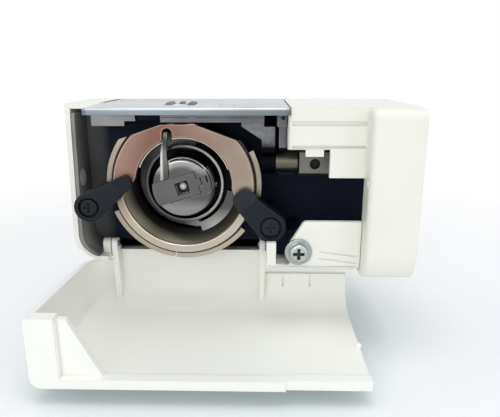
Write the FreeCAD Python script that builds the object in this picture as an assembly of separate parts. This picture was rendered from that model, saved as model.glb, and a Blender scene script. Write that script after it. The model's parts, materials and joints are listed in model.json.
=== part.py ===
import FreeCAD, Part
import math
import os

from FreeCAD import Vector as V

os.makedirs("parts", exist_ok=True)

# Front-loading bobbin compartment of a free-arm sewing machine.
# X runs to the right along the arm, Y away from the viewer, Z up from the hook axis, and y = 0 is
# the face where the race cover seats. Pieces about the hook axis are drawn about x = 0 and carried
# to HOOK_X. At export everything is carried to the mounting flange, the part's own origin.
HOOK_TO_FLANGE = 88.0
RACE_TO_FLANGE = 14.0
HOOK_X = 0.6

# General fits
RUN = 0.05
SLIP = 0.2
CLEAR = 0.4

# Arm envelope
ARM_LEFT = -46.6
ARM_BACK = 46.0
ARM_TOP = 31.2
ARM_FLOOR = -34.1
ARM_FRONT = -20.0
SKIN = 2.2
CORNER_R = 12.0
BACK_EDGE_R = 4.0
MATE_TOP_Y = 6.2
MATE_LOW_Y = 2.4
ROOT_X = 69.4
ROOT_BEND_R = 12.0
SHELF_Y = -12.0
SHELF_LEFT = 40.8
SHELF_LOW = 15.9
PEG_Y = 10.4
PEG_Z = 0.9
PEG_R = 3.9

# Casting
CHEEK_T = 1.4
BACK_Y = 20.0
BACK_T = 4.0
BACK_LOW = -29.4
RAIL_BACK = 38.0
RAIL_LOW = 22.0
RAIL_TOP = 26.0
FLANGE_T = 4.0
FLANGE_BOLT_Y = 19.0
FLANGE_BOLT_Z = 19.0
FLANGE_BOLT_R = 2.75

# Needle plate and feed
PLATE_LEFT = -32.5
PLATE_RIGHT = 41.2
PLATE_FRONT = -16.0
PLATE_BACK = 38.0
PLATE_T = 2.6
PLATE_SCREW_Y = 28.0
PLATE_SCREW_LEFT = -27.0
PLATE_SCREW_RIGHT = 34.0
PLATE_SCREW_R = 1.6
PLATE_HEAD_R = 3.4
PLATE_HEAD_T = 1.8
BRACKET_LEFT = -36.3
BRACKET_RIGHT = -18.8
BRACKET_STEP = -23.2
BRACKET_Y = 6.0
BRACKET_LOW = 22.5
BRACKET_MID = 24.4
LEG_LEFT = 37.9
LEG_Y = -3.0
LEG_LOW = 15.4
ROCK_Y = 5.0
ROCK_Z = 8.8
ROCK_R = 3.5
BUSH_R = 4.3
BUSH_LEFT = 36.9
BUSH_RIGHT = 45.4
CRANK_RIGHT = 36.5
WEDGE_LEFT = 23.4
WEDGE_TOP = 22.8
WEDGE_LOW = 17.7
BLOCK_LEFT = 46.0
BLOCK_RIGHT = 58.2
SET_SCREW_X = 52.0
SET_SCREW_R = 2.1
SET_SCREW_OUT = 0.4
BAR_LEFT = -7.4
BAR_RIGHT = 32.2
BAR_LOW = 24.7
BAR_TOP = 27.9
BAR_FRONT = -1.0
BAR_BACK = 11.0
DOG_ROW_X = 4.3
DOG_ROW_W = 2.0
DOG_TOP = 31.9
DOG_SEAT = 1.3
DOG_TEETH = 8
DOG_SCREW_R = 1.0

# Hook, race and cover, about the hook axis
HOOK_R = 21.22
HOOK_FRONT_Y = 3.4
HOOK_TAIL_Y = 9.0
HOOK_WEB_Y = 11.2
HOOK_WEB_T = 2.0
HOOK_BACK_Y = HOOK_WEB_Y + HOOK_WEB_T
BASKET_Y = 2.2
BASKET_ROOM = 2.4
BASKET_WALL = 1.5
RIM_GAP = 1.4
POST_R = 1.9
POST_TIP_Y = -2.2
SHAFT_R = 4.0
DRIVER_Y = HOOK_BACK_Y + 0.6
DRIVER_T = 1.8
RACE_BORE_R = HOOK_R + RUN + 0.03
RACE_BORE_Y = DRIVER_Y + DRIVER_T + CLEAR
RACE_CONE_R = RACE_BORE_R + 3.3
RACE_CUP_R = RACE_BORE_R + 2.7
RACE_SEAT_R = RACE_CONE_R + 3.3
RACE_RIM_IN = RACE_SEAT_R + 0.5
RACE_RIM_R = RACE_RIM_IN + 2.3
CRANK_LEFT = HOOK_X + RACE_RIM_R
RACE_WEB_T = 2.5
RACE_BACK_Y = RACE_BORE_Y + RACE_WEB_T
RACE_EYE_R = 9.0
RACE_FLAT_Z = 23.4
RACE_SCREW_AT = 16.5
RACE_SCREW_R = 1.5
RACE_HEAD_R = 2.7
COVER_R = RACE_SEAT_R - 0.1
COVER_IN_R = 18.9
COVER_LOW_R = RACE_CONE_R
COVER_T = 1.5
COVER_BEVEL = 0.35
COVER_TOP_Z = 24.1
LIP_IN_R = 18.4
NOTCH_X = -5.75
NOTCH_R = 1.8
NOTCH_Z = 20.4
NOTCH_MOUTH_R = 1.2

# Bobbin case, about the hook axis
CASE_R = 11.9
CASE_WALL = 1.1
BASKET_IN = CASE_R + BASKET_ROOM
BASKET_R = BASKET_IN + BASKET_WALL
HOOK_RIM_IN = BASKET_R + RIM_GAP
CASE_FACE_T = 1.0
CASE_FRONT = -3.4
CASE_LEN = 11.8
CASE_BACK = CASE_FRONT + CASE_LEN
TUBE_R = 2.9
BOBBIN_R = CASE_R - CASE_WALL - 0.55
BOBBIN_LEN = 11.0
BOBBIN_Y = CASE_FRONT + CASE_FACE_T + 0.4
FLANGE_DISC_T = 0.9
PAD_H = 1.15
DOME_H = 1.7
PAD_R = CASE_R - 0.6
FLAP_TILT = 17.0
FLAP_T = 1.0
FLAP_LOW = -4.45
FLAP_HIGH = 4.65
FLAP_EDGE_IN = 5.7
FLAP_PIN_IN = 4.6
FLAP_EDGE_U = CASE_R - FLAP_EDGE_IN
FLAP_PIN_U = CASE_R - FLAP_PIN_IN
FLAP_PIN_R = 0.4
FLAP_PIN_Y = CASE_FRONT - 0.6
KNUCKLE_R = 0.48
KNUCKLE_LOW = -1.2
KNUCKLE_HIGH = 1.7
TENSION_Y = CASE_FRONT + 6.0
TENSION_R = 0.7
SPRING_T = 0.34

# Levers
LEVER_T = 5.2
LEVER_GAP = 0.3
LEVER_BACK = -COVER_T - LEVER_GAP
LEVER_TOP = LEVER_BACK - LEVER_T
LEVER_SCREW_R = 2.5
LEVER_SINK = 1.8
LEVER_BOSS_WALL = 1.7
LEFT_X = -35.8
LEFT_Z = -7.7
LEFT_ANGLE = 33.6
LEFT_LEN = 19.0
LEFT_BOSS = 5.8
LEFT_NOSE = 5.4
RIGHT_X = 35.0
RIGHT_Z = -15.4
RIGHT_ANGLE = 135.0
RIGHT_LEN = 18.6
RIGHT_BOSS = 6.1
RIGHT_NOSE = 7.4

# Door
HINGE_Y = 11.5
HINGE_Z = -28.5
PIN_R = 1.2
EYE_R = 2.4
DOOR_T = 2.3
DOOR_TOP = 30.6
DOOR_RIGHT = 69.0
DOOR_BEND_R = 14.0
DOOR_MID_END = 7.5
DOOR_SIDE_END = -3.6
DOOR_END_GAP = 0.9
DOOR_RIB_X = 33.0
DOOR_RIB_T = 2.4
FAR = 60.0


def box(x0, x1, y0, y1, z0, z1):
    return Part.makeBox(x1 - x0, y1 - y0, z1 - z0, V(x0, y0, z0))


def cyl_y(r, y0, y1, x=0.0, z=0.0):
    return Part.makeCylinder(r, y1 - y0, V(x, y0, z), V(0, 1, 0))


def cyl_x(r, x0, x1, y=0.0, z=0.0):
    return Part.makeCylinder(r, x1 - x0, V(x0, y, z), V(1, 0, 0))


def cyl_z(r, z0, z1, x=0.0, y=0.0):
    return Part.makeCylinder(r, z1 - z0, V(x, y, z0), V(0, 0, 1))


def ring_y(ro, ri, y0, y1, x=0.0, z=0.0):
    return cyl_y(ro, y0, y1, x, z).cut(cyl_y(ri, y0 - 1, y1 + 1, x, z))


def prism(points, sweep):
    wire = Part.makePolygon(points + [points[0]])
    return Part.Face(wire).extrude(sweep)


def prism_xz(points, y0, y1):
    return prism([V(a, y0, b) for a, b in points], V(0, y1 - y0, 0))


def prism_yz(points, x0, x1):
    return prism([V(x0, a, b) for a, b in points], V(x1 - x0, 0, 0))


def prism_xy(points, z0, z1):
    return prism([V(a, b, z0) for a, b in points], V(0, 0, z1 - z0))


def round_along(shape, direction, where, radius):
    """Round the straight edges that run along a direction and satisfy a test of their midpoint."""
    edges = []
    for edge in shape.Edges:
        if not isinstance(edge.Curve, Part.Line):
            continue
        tangent = edge.tangentAt(edge.FirstParameter)
        if abs(abs(tangent.dot(direction)) - 1) < 1e-6 and where(edge.CenterOfMass):
            edges.append(edge)
    return shape.makeFillet(radius, edges) if edges else shape


def face_edges(shape, y, shortest=0.0):
    """Edges that lie in the plane facing the viewer at y."""
    def flat(edge):
        return abs(edge.BoundBox.YMin - y) < 1e-4 and abs(edge.BoundBox.YMax - y) < 1e-4
    return [edge for edge in shape.Edges if flat(edge) and edge.Length > shortest]


def sector_y(a0, a1, r, y0, y1):
    """Wedge about the hook axis between two angles, counted from +X towards +Z."""
    steps = 12
    pts = [(0.0, 0.0)]
    for i in range(steps + 1):
        a = math.radians(a0 + (a1 - a0) * i / steps)
        pts.append((r * math.cos(a), r * math.sin(a)))
    return prism_xz(pts, y0, y1)


def turned(shape, angle):
    """Turn a shape about the hook axis, counter-clockwise as the viewer sees it."""
    out = shape.copy()
    out.rotate(V(0, 0, 0), V(0, 1, 0), -angle)
    return out


def on_axis(shape):
    """Carry a shape drawn about x = 0 to the hook axis."""
    out = shape.copy()
    out.translate(V(HOOK_X, 0, 0))
    return out


def spun(section, a0, a1):
    """Solid of revolution about the hook axis, from radius and depth pairs, between two angles."""
    face = Part.Face(Part.makePolygon([V(r, y, 0) for r, y in section + [section[0]]]))
    solid = face.revolve(V(0, 0, 0), V(0, -1, 0), a1 - a0)
    return turned(solid, a0)


def cross_recess(x, y, z, size, depth):
    """Cross-shaped driver recess sunk into a head that faces the viewer at y."""
    arm = size * 0.28
    flat = box(x - size, x + size, y, y + depth, z - arm, z + arm)
    tall = box(x - arm, x + arm, y, y + depth, z - size, z + size)
    return flat.fuse(tall)


def one(shape):
    """Clean the seams of a fused piece and keep it a single solid."""
    clean = shape.removeSplitter()
    solids = clean.Solids
    if len(solids) != 1:
        print("piece has", len(solids), "solids", [round(s.Volume, 1) for s in solids])
    return max(solids, key=lambda s: s.Volume)


def save(name, shape):
    out = shape.copy()
    out.translate(V(-HOOK_TO_FLANGE, -RACE_TO_FLANGE, 0))
    if not out.isValid():
        print("invalid", name)
    out.exportStep("parts/" + name + ".step")


PLATE_LOW = ARM_TOP - PLATE_T
COVER_INSET = SKIN - SLIP


def arm_block(inset, x0, x1, y0):
    """Rounded body of the arm tip, shrunk by an inset: lower left corner round, back edges round."""
    left = max(x0, ARM_LEFT + inset)
    low = ARM_FLOOR + inset
    high = ARM_TOP - inset
    back = ARM_BACK - inset
    body = box(left, x1, y0, back, low, high)
    body = round_along(body, V(0, 1, 0), lambda c: c.x < left + 0.01 and c.z < low + 0.01,
                       CORNER_R - inset)
    body = round_along(body, V(1, 0, 0), lambda c: c.y > back - 0.01, max(BACK_EDGE_R - inset, 1.0))
    return body


def behind_mate(gap, x0, x1):
    """Everything behind the slanting joint line between the arm tip and the door."""
    top_y = MATE_TOP_Y + gap
    low_y = MATE_LOW_Y + gap
    pts = [(low_y, ARM_FLOOR - 1), (90, ARM_FLOOR - 1), (90, ARM_TOP + 1), (top_y, ARM_TOP + 1)]
    return prism_yz(pts, x0, x1)


# End cover: white skin of the arm tip with back, floor, top strip, peg and the left hinge lug
LUG_IN = DOOR_RIB_X + CLEAR
LUG_OUT = LUG_IN + 3.2
FLOOR_FRONT = 18.0
SWING_ROOM = 2.4
CHEEK_L = ARM_LEFT + SKIN
CHEEK_R = CHEEK_L + CHEEK_T
end_cover = arm_block(0.0, ARM_LEFT, ROOT_X - SLIP, -10.0)
end_cover = end_cover.cut(arm_block(COVER_INSET, ARM_LEFT, ROOT_X + 5, -20.0))
end_cover = end_cover.common(behind_mate(CLEAR, ARM_LEFT - 1, ROOT_X))
end_cover = end_cover.cut(box(-LUG_IN, ROOT_X + 1, -FAR, FLOOR_FRONT, ARM_FLOOR - 1, 0))
end_cover = end_cover.cut(box(PLATE_LEFT - CLEAR, ROOT_X + 1, -FAR, PLATE_BACK + CLEAR, 0, FAR))
end_cover = end_cover.cut(box(PLATE_RIGHT, ROOT_X + 1, -FAR, FAR, ARM_FLOOR + SKIN + CLEAR, FAR))
end_cover = end_cover.cut(box(-FAR, 0, -FAR, MATE_LOW_Y + SWING_ROOM, ARM_FLOOR - 1, HINGE_Z))
lug = box(-LUG_OUT, -LUG_IN, HINGE_Y - EYE_R, HINGE_Y + EYE_R, ARM_FLOOR + 1, HINGE_Z)
lug = lug.fuse(cyl_x(EYE_R, -LUG_OUT, -LUG_IN, HINGE_Y, HINGE_Z))
peg = cyl_x(PEG_R - SLIP, ARM_LEFT + 1, CHEEK_R - SLIP, PEG_Y, PEG_Z)
end_cover = end_cover.fuse([lug, peg])
end_cover = end_cover.cut(cyl_x(PIN_R, -LUG_OUT, 0, HINGE_Y, HINGE_Z))
save("end_cover", one(end_cover))

# Top cover: white shelf right of the plate and the root of the arm
ROOT_RIGHT = HOOK_TO_FLANGE
ROOT_WALL = SKIN + 0.2
TAB_LEFT = 47.3
TAB_RIGHT = 53.9
TAB_LOW = 13.4
DROP_LEFT = 56.2
DROP_LOW = 5.6
RIB_LEFT = 76.0
NUB_Y = -17.6
NUB_Z = 4.8
NUB_R = 1.3


def root_block(inset, x0, x1):
    body = box(x0, x1, ARM_FRONT + inset, ARM_BACK - inset, ARM_FLOOR + inset, ARM_TOP - inset)
    body = round_along(body, V(1, 0, 0), lambda c: c.y < 0 and c.z < 0, ROOT_BEND_R - inset)
    body = round_along(body, V(1, 0, 0), lambda c: c.y > 0 or c.z > 0, BACK_EDGE_R - inset)
    return body


root = root_block(0.0, ROOT_X, ROOT_RIGHT)
root = round_along(root, V(0, 0, 1), lambda c: c.x < ROOT_X + 0.1 and c.y < 0, 2.0)
root = root.cut(root_block(ROOT_WALL, ROOT_X + SKIN, ROOT_RIGHT + 1))
root = root.cut(root_block(ROOT_WALL, ROOT_X - 1, ROOT_RIGHT + 1).common(
    box(ROOT_X - 2, ROOT_RIGHT, SHELF_Y + SKIN, FAR, -FAR, FAR)))
shelf = box(SHELF_LEFT, ROOT_X + 1, SHELF_Y, SHELF_Y + SKIN, SHELF_LOW, ARM_TOP)
shelf = round_along(shelf, V(0, 0, 1),
                    lambda c: c.x < SHELF_LEFT + 0.1 and c.y < SHELF_Y + 0.1, 1.4)
shelf = round_along(shelf, V(1, 0, 0),
                    lambda c: c.y < SHELF_Y + 0.1 and c.z < SHELF_LOW + 0.1, 0.8)
low_block = box(DROP_LEFT, ROOT_X + 1, SHELF_Y, SHELF_Y + SKIN, DROP_LOW, SHELF_LOW + 1)
tab = box(TAB_LEFT, TAB_RIGHT, SHELF_Y + CLEAR, SHELF_Y + SKIN, TAB_LOW, SHELF_LOW + 1)
side = box(SHELF_LEFT, SHELF_LEFT + SKIN, SHELF_Y + 1, BACK_Y - CLEAR, SHELF_LOW, PLATE_LOW - CLEAR)
lid = box(PLATE_RIGHT + CLEAR, ROOT_X + 1, SHELF_Y, ARM_BACK, ARM_TOP - SKIN, ARM_TOP)
lid = round_along(lid, V(1, 0, 0), lambda c: c.z > ARM_TOP - 0.1 and c.y > 0, 2.0)
rear = box(PLATE_RIGHT + CLEAR, ROOT_X + 1, ARM_BACK - SKIN, ARM_BACK,
           ARM_FLOOR + 2 * SKIN, ARM_TOP - 2)
top_cover = root.fuse([shelf, low_block, tab, side, lid, rear])
top_cover = top_cover.cut(box(SHELF_LEFT - 1, PLATE_RIGHT + CLEAR, -FAR, PLATE_BACK,
                              PLATE_LOW - CLEAR, FAR))
for groove_z, groove_h in ((25.4, 1.5), (17.0, 0.9)):
    groove = box(SHELF_LEFT + 1.6, ROOT_X - 0.6, SHELF_Y - 1, SHELF_Y + 0.7,
                 groove_z - groove_h / 2, groove_z + groove_h / 2)
    top_cover = top_cover.cut(groove)
for rib_z in (-14.0, 0.0, 14.0):
    front_rib = box(RIB_LEFT, ROOT_RIGHT, ARM_FRONT + 2, ARM_FRONT + 10, rib_z - 0.8, rib_z + 0.8)
    back_rib = box(RIB_LEFT, ROOT_RIGHT, ARM_BACK - 6, ARM_BACK - 2, rib_z - 0.8, rib_z + 0.8)
    top_cover = top_cover.fuse([front_rib, back_rib])
top_cover = top_cover.cut(Part.makeSphere(NUB_R + 0.6, V(DOOR_RIGHT - 0.6, NUB_Y, NUB_Z)))
save("top_cover", one(top_cover))


def door_block(inset, x1, y1, z1):
    """Closed outline of the door, shrunk by an inset: bent below, round at the tip."""
    left = ARM_LEFT + inset
    front = ARM_FRONT + inset
    low = ARM_FLOOR + inset
    side_view = box(left, x1, front, y1, low, z1)
    side_view = round_along(side_view, V(1, 0, 0), lambda c: c.y < 0 and c.z < 0,
                            DOOR_BEND_R - inset)
    end_view = box(left, x1, front, y1, low, z1)
    end_view = round_along(end_view, V(0, 1, 0), lambda c: c.x < left + 0.1 and c.z < 0,
                           CORNER_R - inset)
    plan = box(left, x1, front, y1, low, z1)
    plan = round_along(plan, V(0, 0, 1), lambda c: c.x < left + 0.1 and c.y < front + 0.1,
                       BACK_EDGE_R - inset)
    return side_view.common(end_view).common(plan)


# Lower cover: white bracket right of the race, its rail and the right hinge lug
LOWER_RIGHT = ROOT_X - SLIP
LOWER_TOP = -11.3
LOWER_PEAK_X = 47.4
LOWER_NECK_X = 42.3
LOWER_NECK_Z = -19.8
LOWER_POST_X = 37.0
RAIL_BOTTOM = -31.4
RAIL_BACK_Y = -0.6
SLOT_LOW = -28.6
SCREW_X = 45.5
SCREW_Z = -23.2
SCREW_R = 2.0
SCREW_HEAD_R = 3.6
WASHER_R = 5.2
WASHER_T = 1.0
LOWER_LINE_Z = (-23.0, -25.7)
LOWER_LINE_LEFT = 53.6
LOWER_LINE_DROP = 1.8
LOWER_LINE_W = 0.5
face_pts = [(LOWER_PEAK_X, LOWER_TOP), (LOWER_RIGHT, LOWER_TOP), (LOWER_RIGHT, RAIL_BOTTOM),
            (LUG_IN, RAIL_BOTTOM), (LUG_IN, LOWER_NECK_Z), (LOWER_POST_X, LOWER_NECK_Z),
            (LOWER_POST_X, SLOT_LOW), (LOWER_NECK_X, SLOT_LOW), (LOWER_NECK_X, LOWER_NECK_Z)]
lower = prism_xz(face_pts, SHELF_Y, SHELF_Y + SKIN)
lower = round_along(lower, V(0, 1, 0), lambda c: c.z > LOWER_TOP - 1 and c.x < 50, 2.2)
lower = round_along(lower, V(0, 1, 0), lambda c: 37 < c.x < 43 and c.z < -28, 0.6)
lower = round_along(lower, V(1, 0, 0),
                    lambda c: c.z > LOWER_TOP - 0.1 and c.y < SHELF_Y + 0.1, 1.2)
rail = box(LUG_IN, LOWER_RIGHT, SHELF_Y + 0.5, RAIL_BACK_Y, RAIL_BOTTOM, RAIL_BOTTOM + SKIN)
step_y = DOOR_SIDE_END + DOOR_END_GAP
step = box(LUG_IN, LOWER_RIGHT, step_y, RAIL_BACK_Y, ARM_FLOOR, RAIL_BOTTOM + SKIN)
pan = box(LUG_IN, LOWER_RIGHT, step_y, FLOOR_FRONT - CLEAR, ARM_FLOOR, ARM_FLOOR + SKIN)
lug = box(LUG_IN, LUG_OUT, HINGE_Y - EYE_R, HINGE_Y + EYE_R, ARM_FLOOR + 1, HINGE_Z)
lug = lug.fuse(cyl_x(EYE_R, LUG_IN, LUG_OUT, HINGE_Y, HINGE_Z))
lower = lower.fuse([rail, step, pan, lug])
line_right = LOWER_RIGHT - 1.5
for line_z in LOWER_LINE_Z:
    low_z = line_z - LOWER_LINE_DROP
    line_pts = [(LOWER_LINE_LEFT, line_z), (line_right, low_z), (line_right, low_z - LOWER_LINE_W),
                (LOWER_LINE_LEFT, line_z - LOWER_LINE_W)]
    lower = lower.cut(prism_xz(line_pts, SHELF_Y - 1, SHELF_Y + 0.25))
lower = lower.cut(box(LUG_IN + 0.8, LOWER_RIGHT - 1, SHELF_Y - 1, SHELF_Y + 0.3, -29.4, -29.0))
inside = door_block(DOOR_T + CLEAR, 200.0, FAR, FAR)
inside = inside.fuse(box(0, 200, DOOR_SIDE_END + CLEAR, FAR, -FAR, FAR))
lower = lower.common(inside)
lower = lower.cut(cyl_x(PIN_R, 0, LUG_OUT, HINGE_Y, HINGE_Z))
lower = lower.cut(cyl_y(SCREW_R + SLIP, -30, 0, SCREW_X, SCREW_Z))
save("lower_cover", one(lower))

# Cover screw with its washer
WASHER_Y = SHELF_Y - WASHER_T
HEAD_Y = WASHER_Y - 2.2
washer = ring_y(WASHER_R, SCREW_R + SLIP, WASHER_Y, SHELF_Y, SCREW_X, SCREW_Z)
washer = washer.makeFillet(0.3, face_edges(washer, WASHER_Y, 20))
save("cover_washer", washer)
head = cyl_y(SCREW_HEAD_R, HEAD_Y, WASHER_Y, SCREW_X, SCREW_Z)
head = head.makeFillet(1.0, face_edges(head, HEAD_Y))
head = head.cut(cross_recess(SCREW_X, HEAD_Y - 0.1, SCREW_Z, 2.2, 1.5))
cover_screw = head.fuse(cyl_y(SCREW_R, WASHER_Y - 0.2, 2.0, SCREW_X, SCREW_Z))
save("cover_screw", one(cover_screw))

# Casting: cheek at the arm tip, back plate, rails, pillars, seats and the mounting flange
FOOT_R = 4.0
FOOT_Y = 31.0
FOOT_TIP_X = -22.0
PILLAR_R = 4.6
SHAFT_BUSH_R = 6.5
LEVER_SEAT = LEVER_BACK + SLIP
CAST_LEFT = CHEEK_L + CHEEK_T / 2
CAST_RIGHT = HOOK_TO_FLANGE - FLANGE_T + 1
tip = arm_block(SKIN, ARM_LEFT, 0.0, -10.0).common(box(-FAR, -LUG_OUT - SLIP, -FAR, FAR, -FAR, FAR))
tip = tip.cut(arm_block(SKIN + CHEEK_T, ARM_LEFT, 80, -30.0))
tip = tip.common(behind_mate(CLEAR + SLIP, ARM_LEFT, 0)).common(box(-FAR, FAR, -FAR, 40, -FAR, 27.6))
casting = tip.cut(box(CHEEK_R + 0.01, FAR, -FAR, FAR, 20, FAR))
cast_back = box(CAST_LEFT, CAST_RIGHT, BACK_Y, BACK_Y + BACK_T, BACK_LOW, RAIL_TOP)
top_rail = box(CAST_LEFT, CAST_RIGHT, BACK_Y, RAIL_BACK, RAIL_LOW, RAIL_TOP)
low_rail = box(CAST_LEFT, CAST_RIGHT, BACK_Y, RAIL_BACK, BACK_LOW, BACK_LOW + 3.0)
flange = box(HOOK_TO_FLANGE - FLANGE_T, HOOK_TO_FLANGE, ARM_FRONT + 10, ARM_BACK - 6, BACK_LOW, 27.0)
flange = round_along(flange, V(1, 0, 0), lambda c: True, 4.0)
flange_win = box(80, 90, 0, 28, -16, 1.5)
flange = flange.cut(round_along(flange_win, V(1, 0, 0), lambda c: True, 3.0))
pieces = [cast_back, top_rail, low_rail, flange]
for pad_x in (PLATE_SCREW_LEFT, PLATE_SCREW_RIGHT):
    pieces.append(cyl_z(5.0, RAIL_LOW + 1, PLATE_LOW, pad_x, PLATE_SCREW_Y))
for foot_x in (FOOT_TIP_X, 18.0, 56.0):
    pieces.append(cyl_z(FOOT_R, ARM_FLOOR + COVER_INSET, BACK_LOW + 1, foot_x, FOOT_Y))
pieces.append(cyl_y(LEFT_BOSS - 1.4, LEVER_SEAT, BACK_Y + 1, LEFT_X, LEFT_Z))
pieces.append(cyl_y(RIGHT_BOSS - 1.4, LEVER_SEAT, BACK_Y + 1, RIGHT_X, RIGHT_Z))
pieces.append(cyl_y(PILLAR_R, SHELF_Y + SKIN, BACK_Y + 1, SCREW_X, SCREW_Z))
pieces.append(box(LOWER_POST_X, SCREW_X, -1.0, 1.2, SLOT_LOW, SCREW_Z + PILLAR_R))
pieces.append(on_axis(cyl_y(RACE_CUP_R - 1, RACE_BACK_Y, BACK_Y + 1)))
pieces.append(on_axis(cyl_y(10.0, BACK_Y, BACK_Y + BACK_T + 3.0)))
pieces.append(box(BUSH_LEFT + 1.3, BUSH_RIGHT - 1.2, ROCK_Y + 0.5, BACK_Y + 1, ROCK_Z - 5.6, ROCK_Z + 5.2))
pieces.append(box(BRACKET_RIGHT + CLEAR, BAR_LEFT - 1.0, BRACKET_Y + 1, BACK_Y + 1, BRACKET_MID,
                  PLATE_LOW - 1.6))
casting = casting.fuse(pieces)
outside = box(ARM_LEFT - 5, -30.0, -FAR, FAR, ARM_FLOOR - 5, -20.0)
outside = outside.cut(arm_block(SKIN, ARM_LEFT, 0.0, -90.0))
foot = cyl_z(FOOT_R + 0.1, -FAR, 0, FOOT_TIP_X, FOOT_Y)
casting = casting.cut(outside.cut(foot))
casting = casting.cut(on_axis(cyl_y(SHAFT_BUSH_R, 0, FAR)))
casting = casting.cut(on_axis(cyl_y(10.0, 0, RACE_BACK_Y + 2.5)))
casting = casting.cut(cyl_x(BUSH_R, 30, FAR, ROCK_Y, ROCK_Z))
casting = casting.cut(cyl_x(ROCK_R + RUN, 80, 90, ROCK_Y, ROCK_Z))
casting = casting.cut(cyl_x(PEG_R, -FAR, -38, PEG_Y, PEG_Z))
for bolt_y in (-FLANGE_BOLT_Y, FLANGE_BOLT_Y):
    for bolt_z in (-FLANGE_BOLT_Z, FLANGE_BOLT_Z):
        casting = casting.cut(cyl_x(FLANGE_BOLT_R, 80, 90, RACE_TO_FLANGE + bolt_y, bolt_z))
for sx, sz in ((LEFT_X, LEFT_Z), (RIGHT_X, RIGHT_Z)):
    casting = casting.cut(cyl_y(LEVER_SCREW_R, -5, 9.0, sx, sz))
casting = casting.cut(cyl_y(SCREW_R, -20, 2.5, SCREW_X, SCREW_Z))
for pad_x in (PLATE_SCREW_LEFT, PLATE_SCREW_RIGHT):
    casting = casting.cut(cyl_z(PLATE_SCREW_R, 18.0, 40.0, pad_x, PLATE_SCREW_Y))
RACE_SCREW_END = BACK_Y + BACK_T - 0.8
for k in range(3):
    hole = cyl_y(RACE_SCREW_R, RACE_BACK_Y - 1, RACE_SCREW_END + 0.3, RACE_SCREW_AT, 0)
    casting = casting.cut(on_axis(turned(hole, 90 + 120 * k)))
save("arm_casting", one(casting))

# Plate brackets: plated steps that carry the front of the needle plate
left_bracket = box(BRACKET_LEFT, BRACKET_RIGHT, BRACKET_Y, BACK_Y, BRACKET_MID, PLATE_LOW)
left_bracket = left_bracket.fuse(box(BRACKET_LEFT, BRACKET_STEP, BRACKET_Y, BACK_Y,
                                     BRACKET_LOW, BRACKET_MID + 1))
left_bracket = left_bracket.cut(box(BRACKET_LEFT + 3, BRACKET_STEP - 1, BRACKET_Y + 3, BACK_Y - 4,
                                    BRACKET_LOW - 1, FAR))
save("plate_bracket_left", one(left_bracket))
right_bracket = box(37.0, SHELF_LEFT - CLEAR, -8.0, BACK_Y, 23.8, PLATE_LOW)
right_bracket = right_bracket.cut(cyl_y(0.9, -9, -4, 39.2, PLATE_LOW - 1.3))
right_bracket = right_bracket.fuse(box(LEG_LEFT, SHELF_LEFT - CLEAR, LEG_Y, BACK_Y, LEG_LOW, PLATE_LOW - 1))
save("plate_bracket_right", one(right_bracket))

# Needle plate with feed slots, needle slot, seam lines and countersunk holes
SLOT_SIDE = 0.5
FEED_SWING = 2.1
DOG_FRONT = BAR_FRONT + 0.5
DOG_BACK = BAR_BACK - 0.5
MID_ROW_Y = 7.4
NEEDLE_Y = 1.3


def feed_slot(row_x, front):
    slot = box(row_x - DOG_ROW_W / 2 - SLOT_SIDE, row_x + DOG_ROW_W / 2 + SLOT_SIDE,
               front - FEED_SWING, DOG_BACK + FEED_SWING, 20, 40)
    return round_along(slot, V(0, 0, 1), lambda c: True, 0.8)


plate = box(PLATE_LEFT, PLATE_RIGHT, PLATE_FRONT, PLATE_BACK, PLATE_LOW, ARM_TOP)
plate = round_along(plate, V(0, 0, 1), lambda c: True, 2.0)
top_edges = [e for e in plate.Edges if abs(e.CenterOfMass.z - ARM_TOP) < 0.01]
plate = plate.makeFillet(0.7, top_edges)
for row_x, row_y in ((-DOG_ROW_X, DOG_FRONT), (DOG_ROW_X, DOG_FRONT), (0.0, MID_ROW_Y)):
    plate = plate.cut(feed_slot(row_x, row_y))
needle_slot = box(-2.4, 2.4, NEEDLE_Y - 0.8, NEEDLE_Y + 0.8, 20, 40)
plate = plate.cut(round_along(needle_slot, V(0, 0, 1), lambda c: True, 0.79))
for line in range(4):
    line_x = 16.0 + 5.0 * line
    plate = plate.cut(box(line_x - 0.2, line_x + 0.2, -8.0, 14.0, ARM_TOP - 0.2, ARM_TOP + 1))
SINK_Z = ARM_TOP - PLATE_HEAD_T
for pad_x in (PLATE_SCREW_LEFT, PLATE_SCREW_RIGHT):
    place = V(pad_x, PLATE_SCREW_Y, SINK_Z)
    plate = plate.cut(cyl_z(PLATE_SCREW_R + SLIP, 20, 40, pad_x, PLATE_SCREW_Y))
    sink = Part.makeCone(PLATE_SCREW_R + SLIP, PLATE_HEAD_R + SLIP, PLATE_HEAD_T, place)
    plate = plate.cut(sink)
save("needle_plate", one(plate))

screws = []
for pad_x in (PLATE_SCREW_LEFT, PLATE_SCREW_RIGHT):
    cone = Part.makeCone(PLATE_SCREW_R, PLATE_HEAD_R, PLATE_HEAD_T, V(pad_x, PLATE_SCREW_Y, SINK_Z))
    shank = cyl_z(PLATE_SCREW_R, 19.0, SINK_Z + 0.1, pad_x, PLATE_SCREW_Y)
    slot = box(pad_x - 4, pad_x + 4, PLATE_SCREW_Y - 0.4, PLATE_SCREW_Y + 0.4, ARM_TOP - 0.8, ARM_TOP + 1)
    screws.append(one(cone.fuse(shank).cut(slot)))
save("plate_screws", Part.makeCompound(screws))

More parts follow.
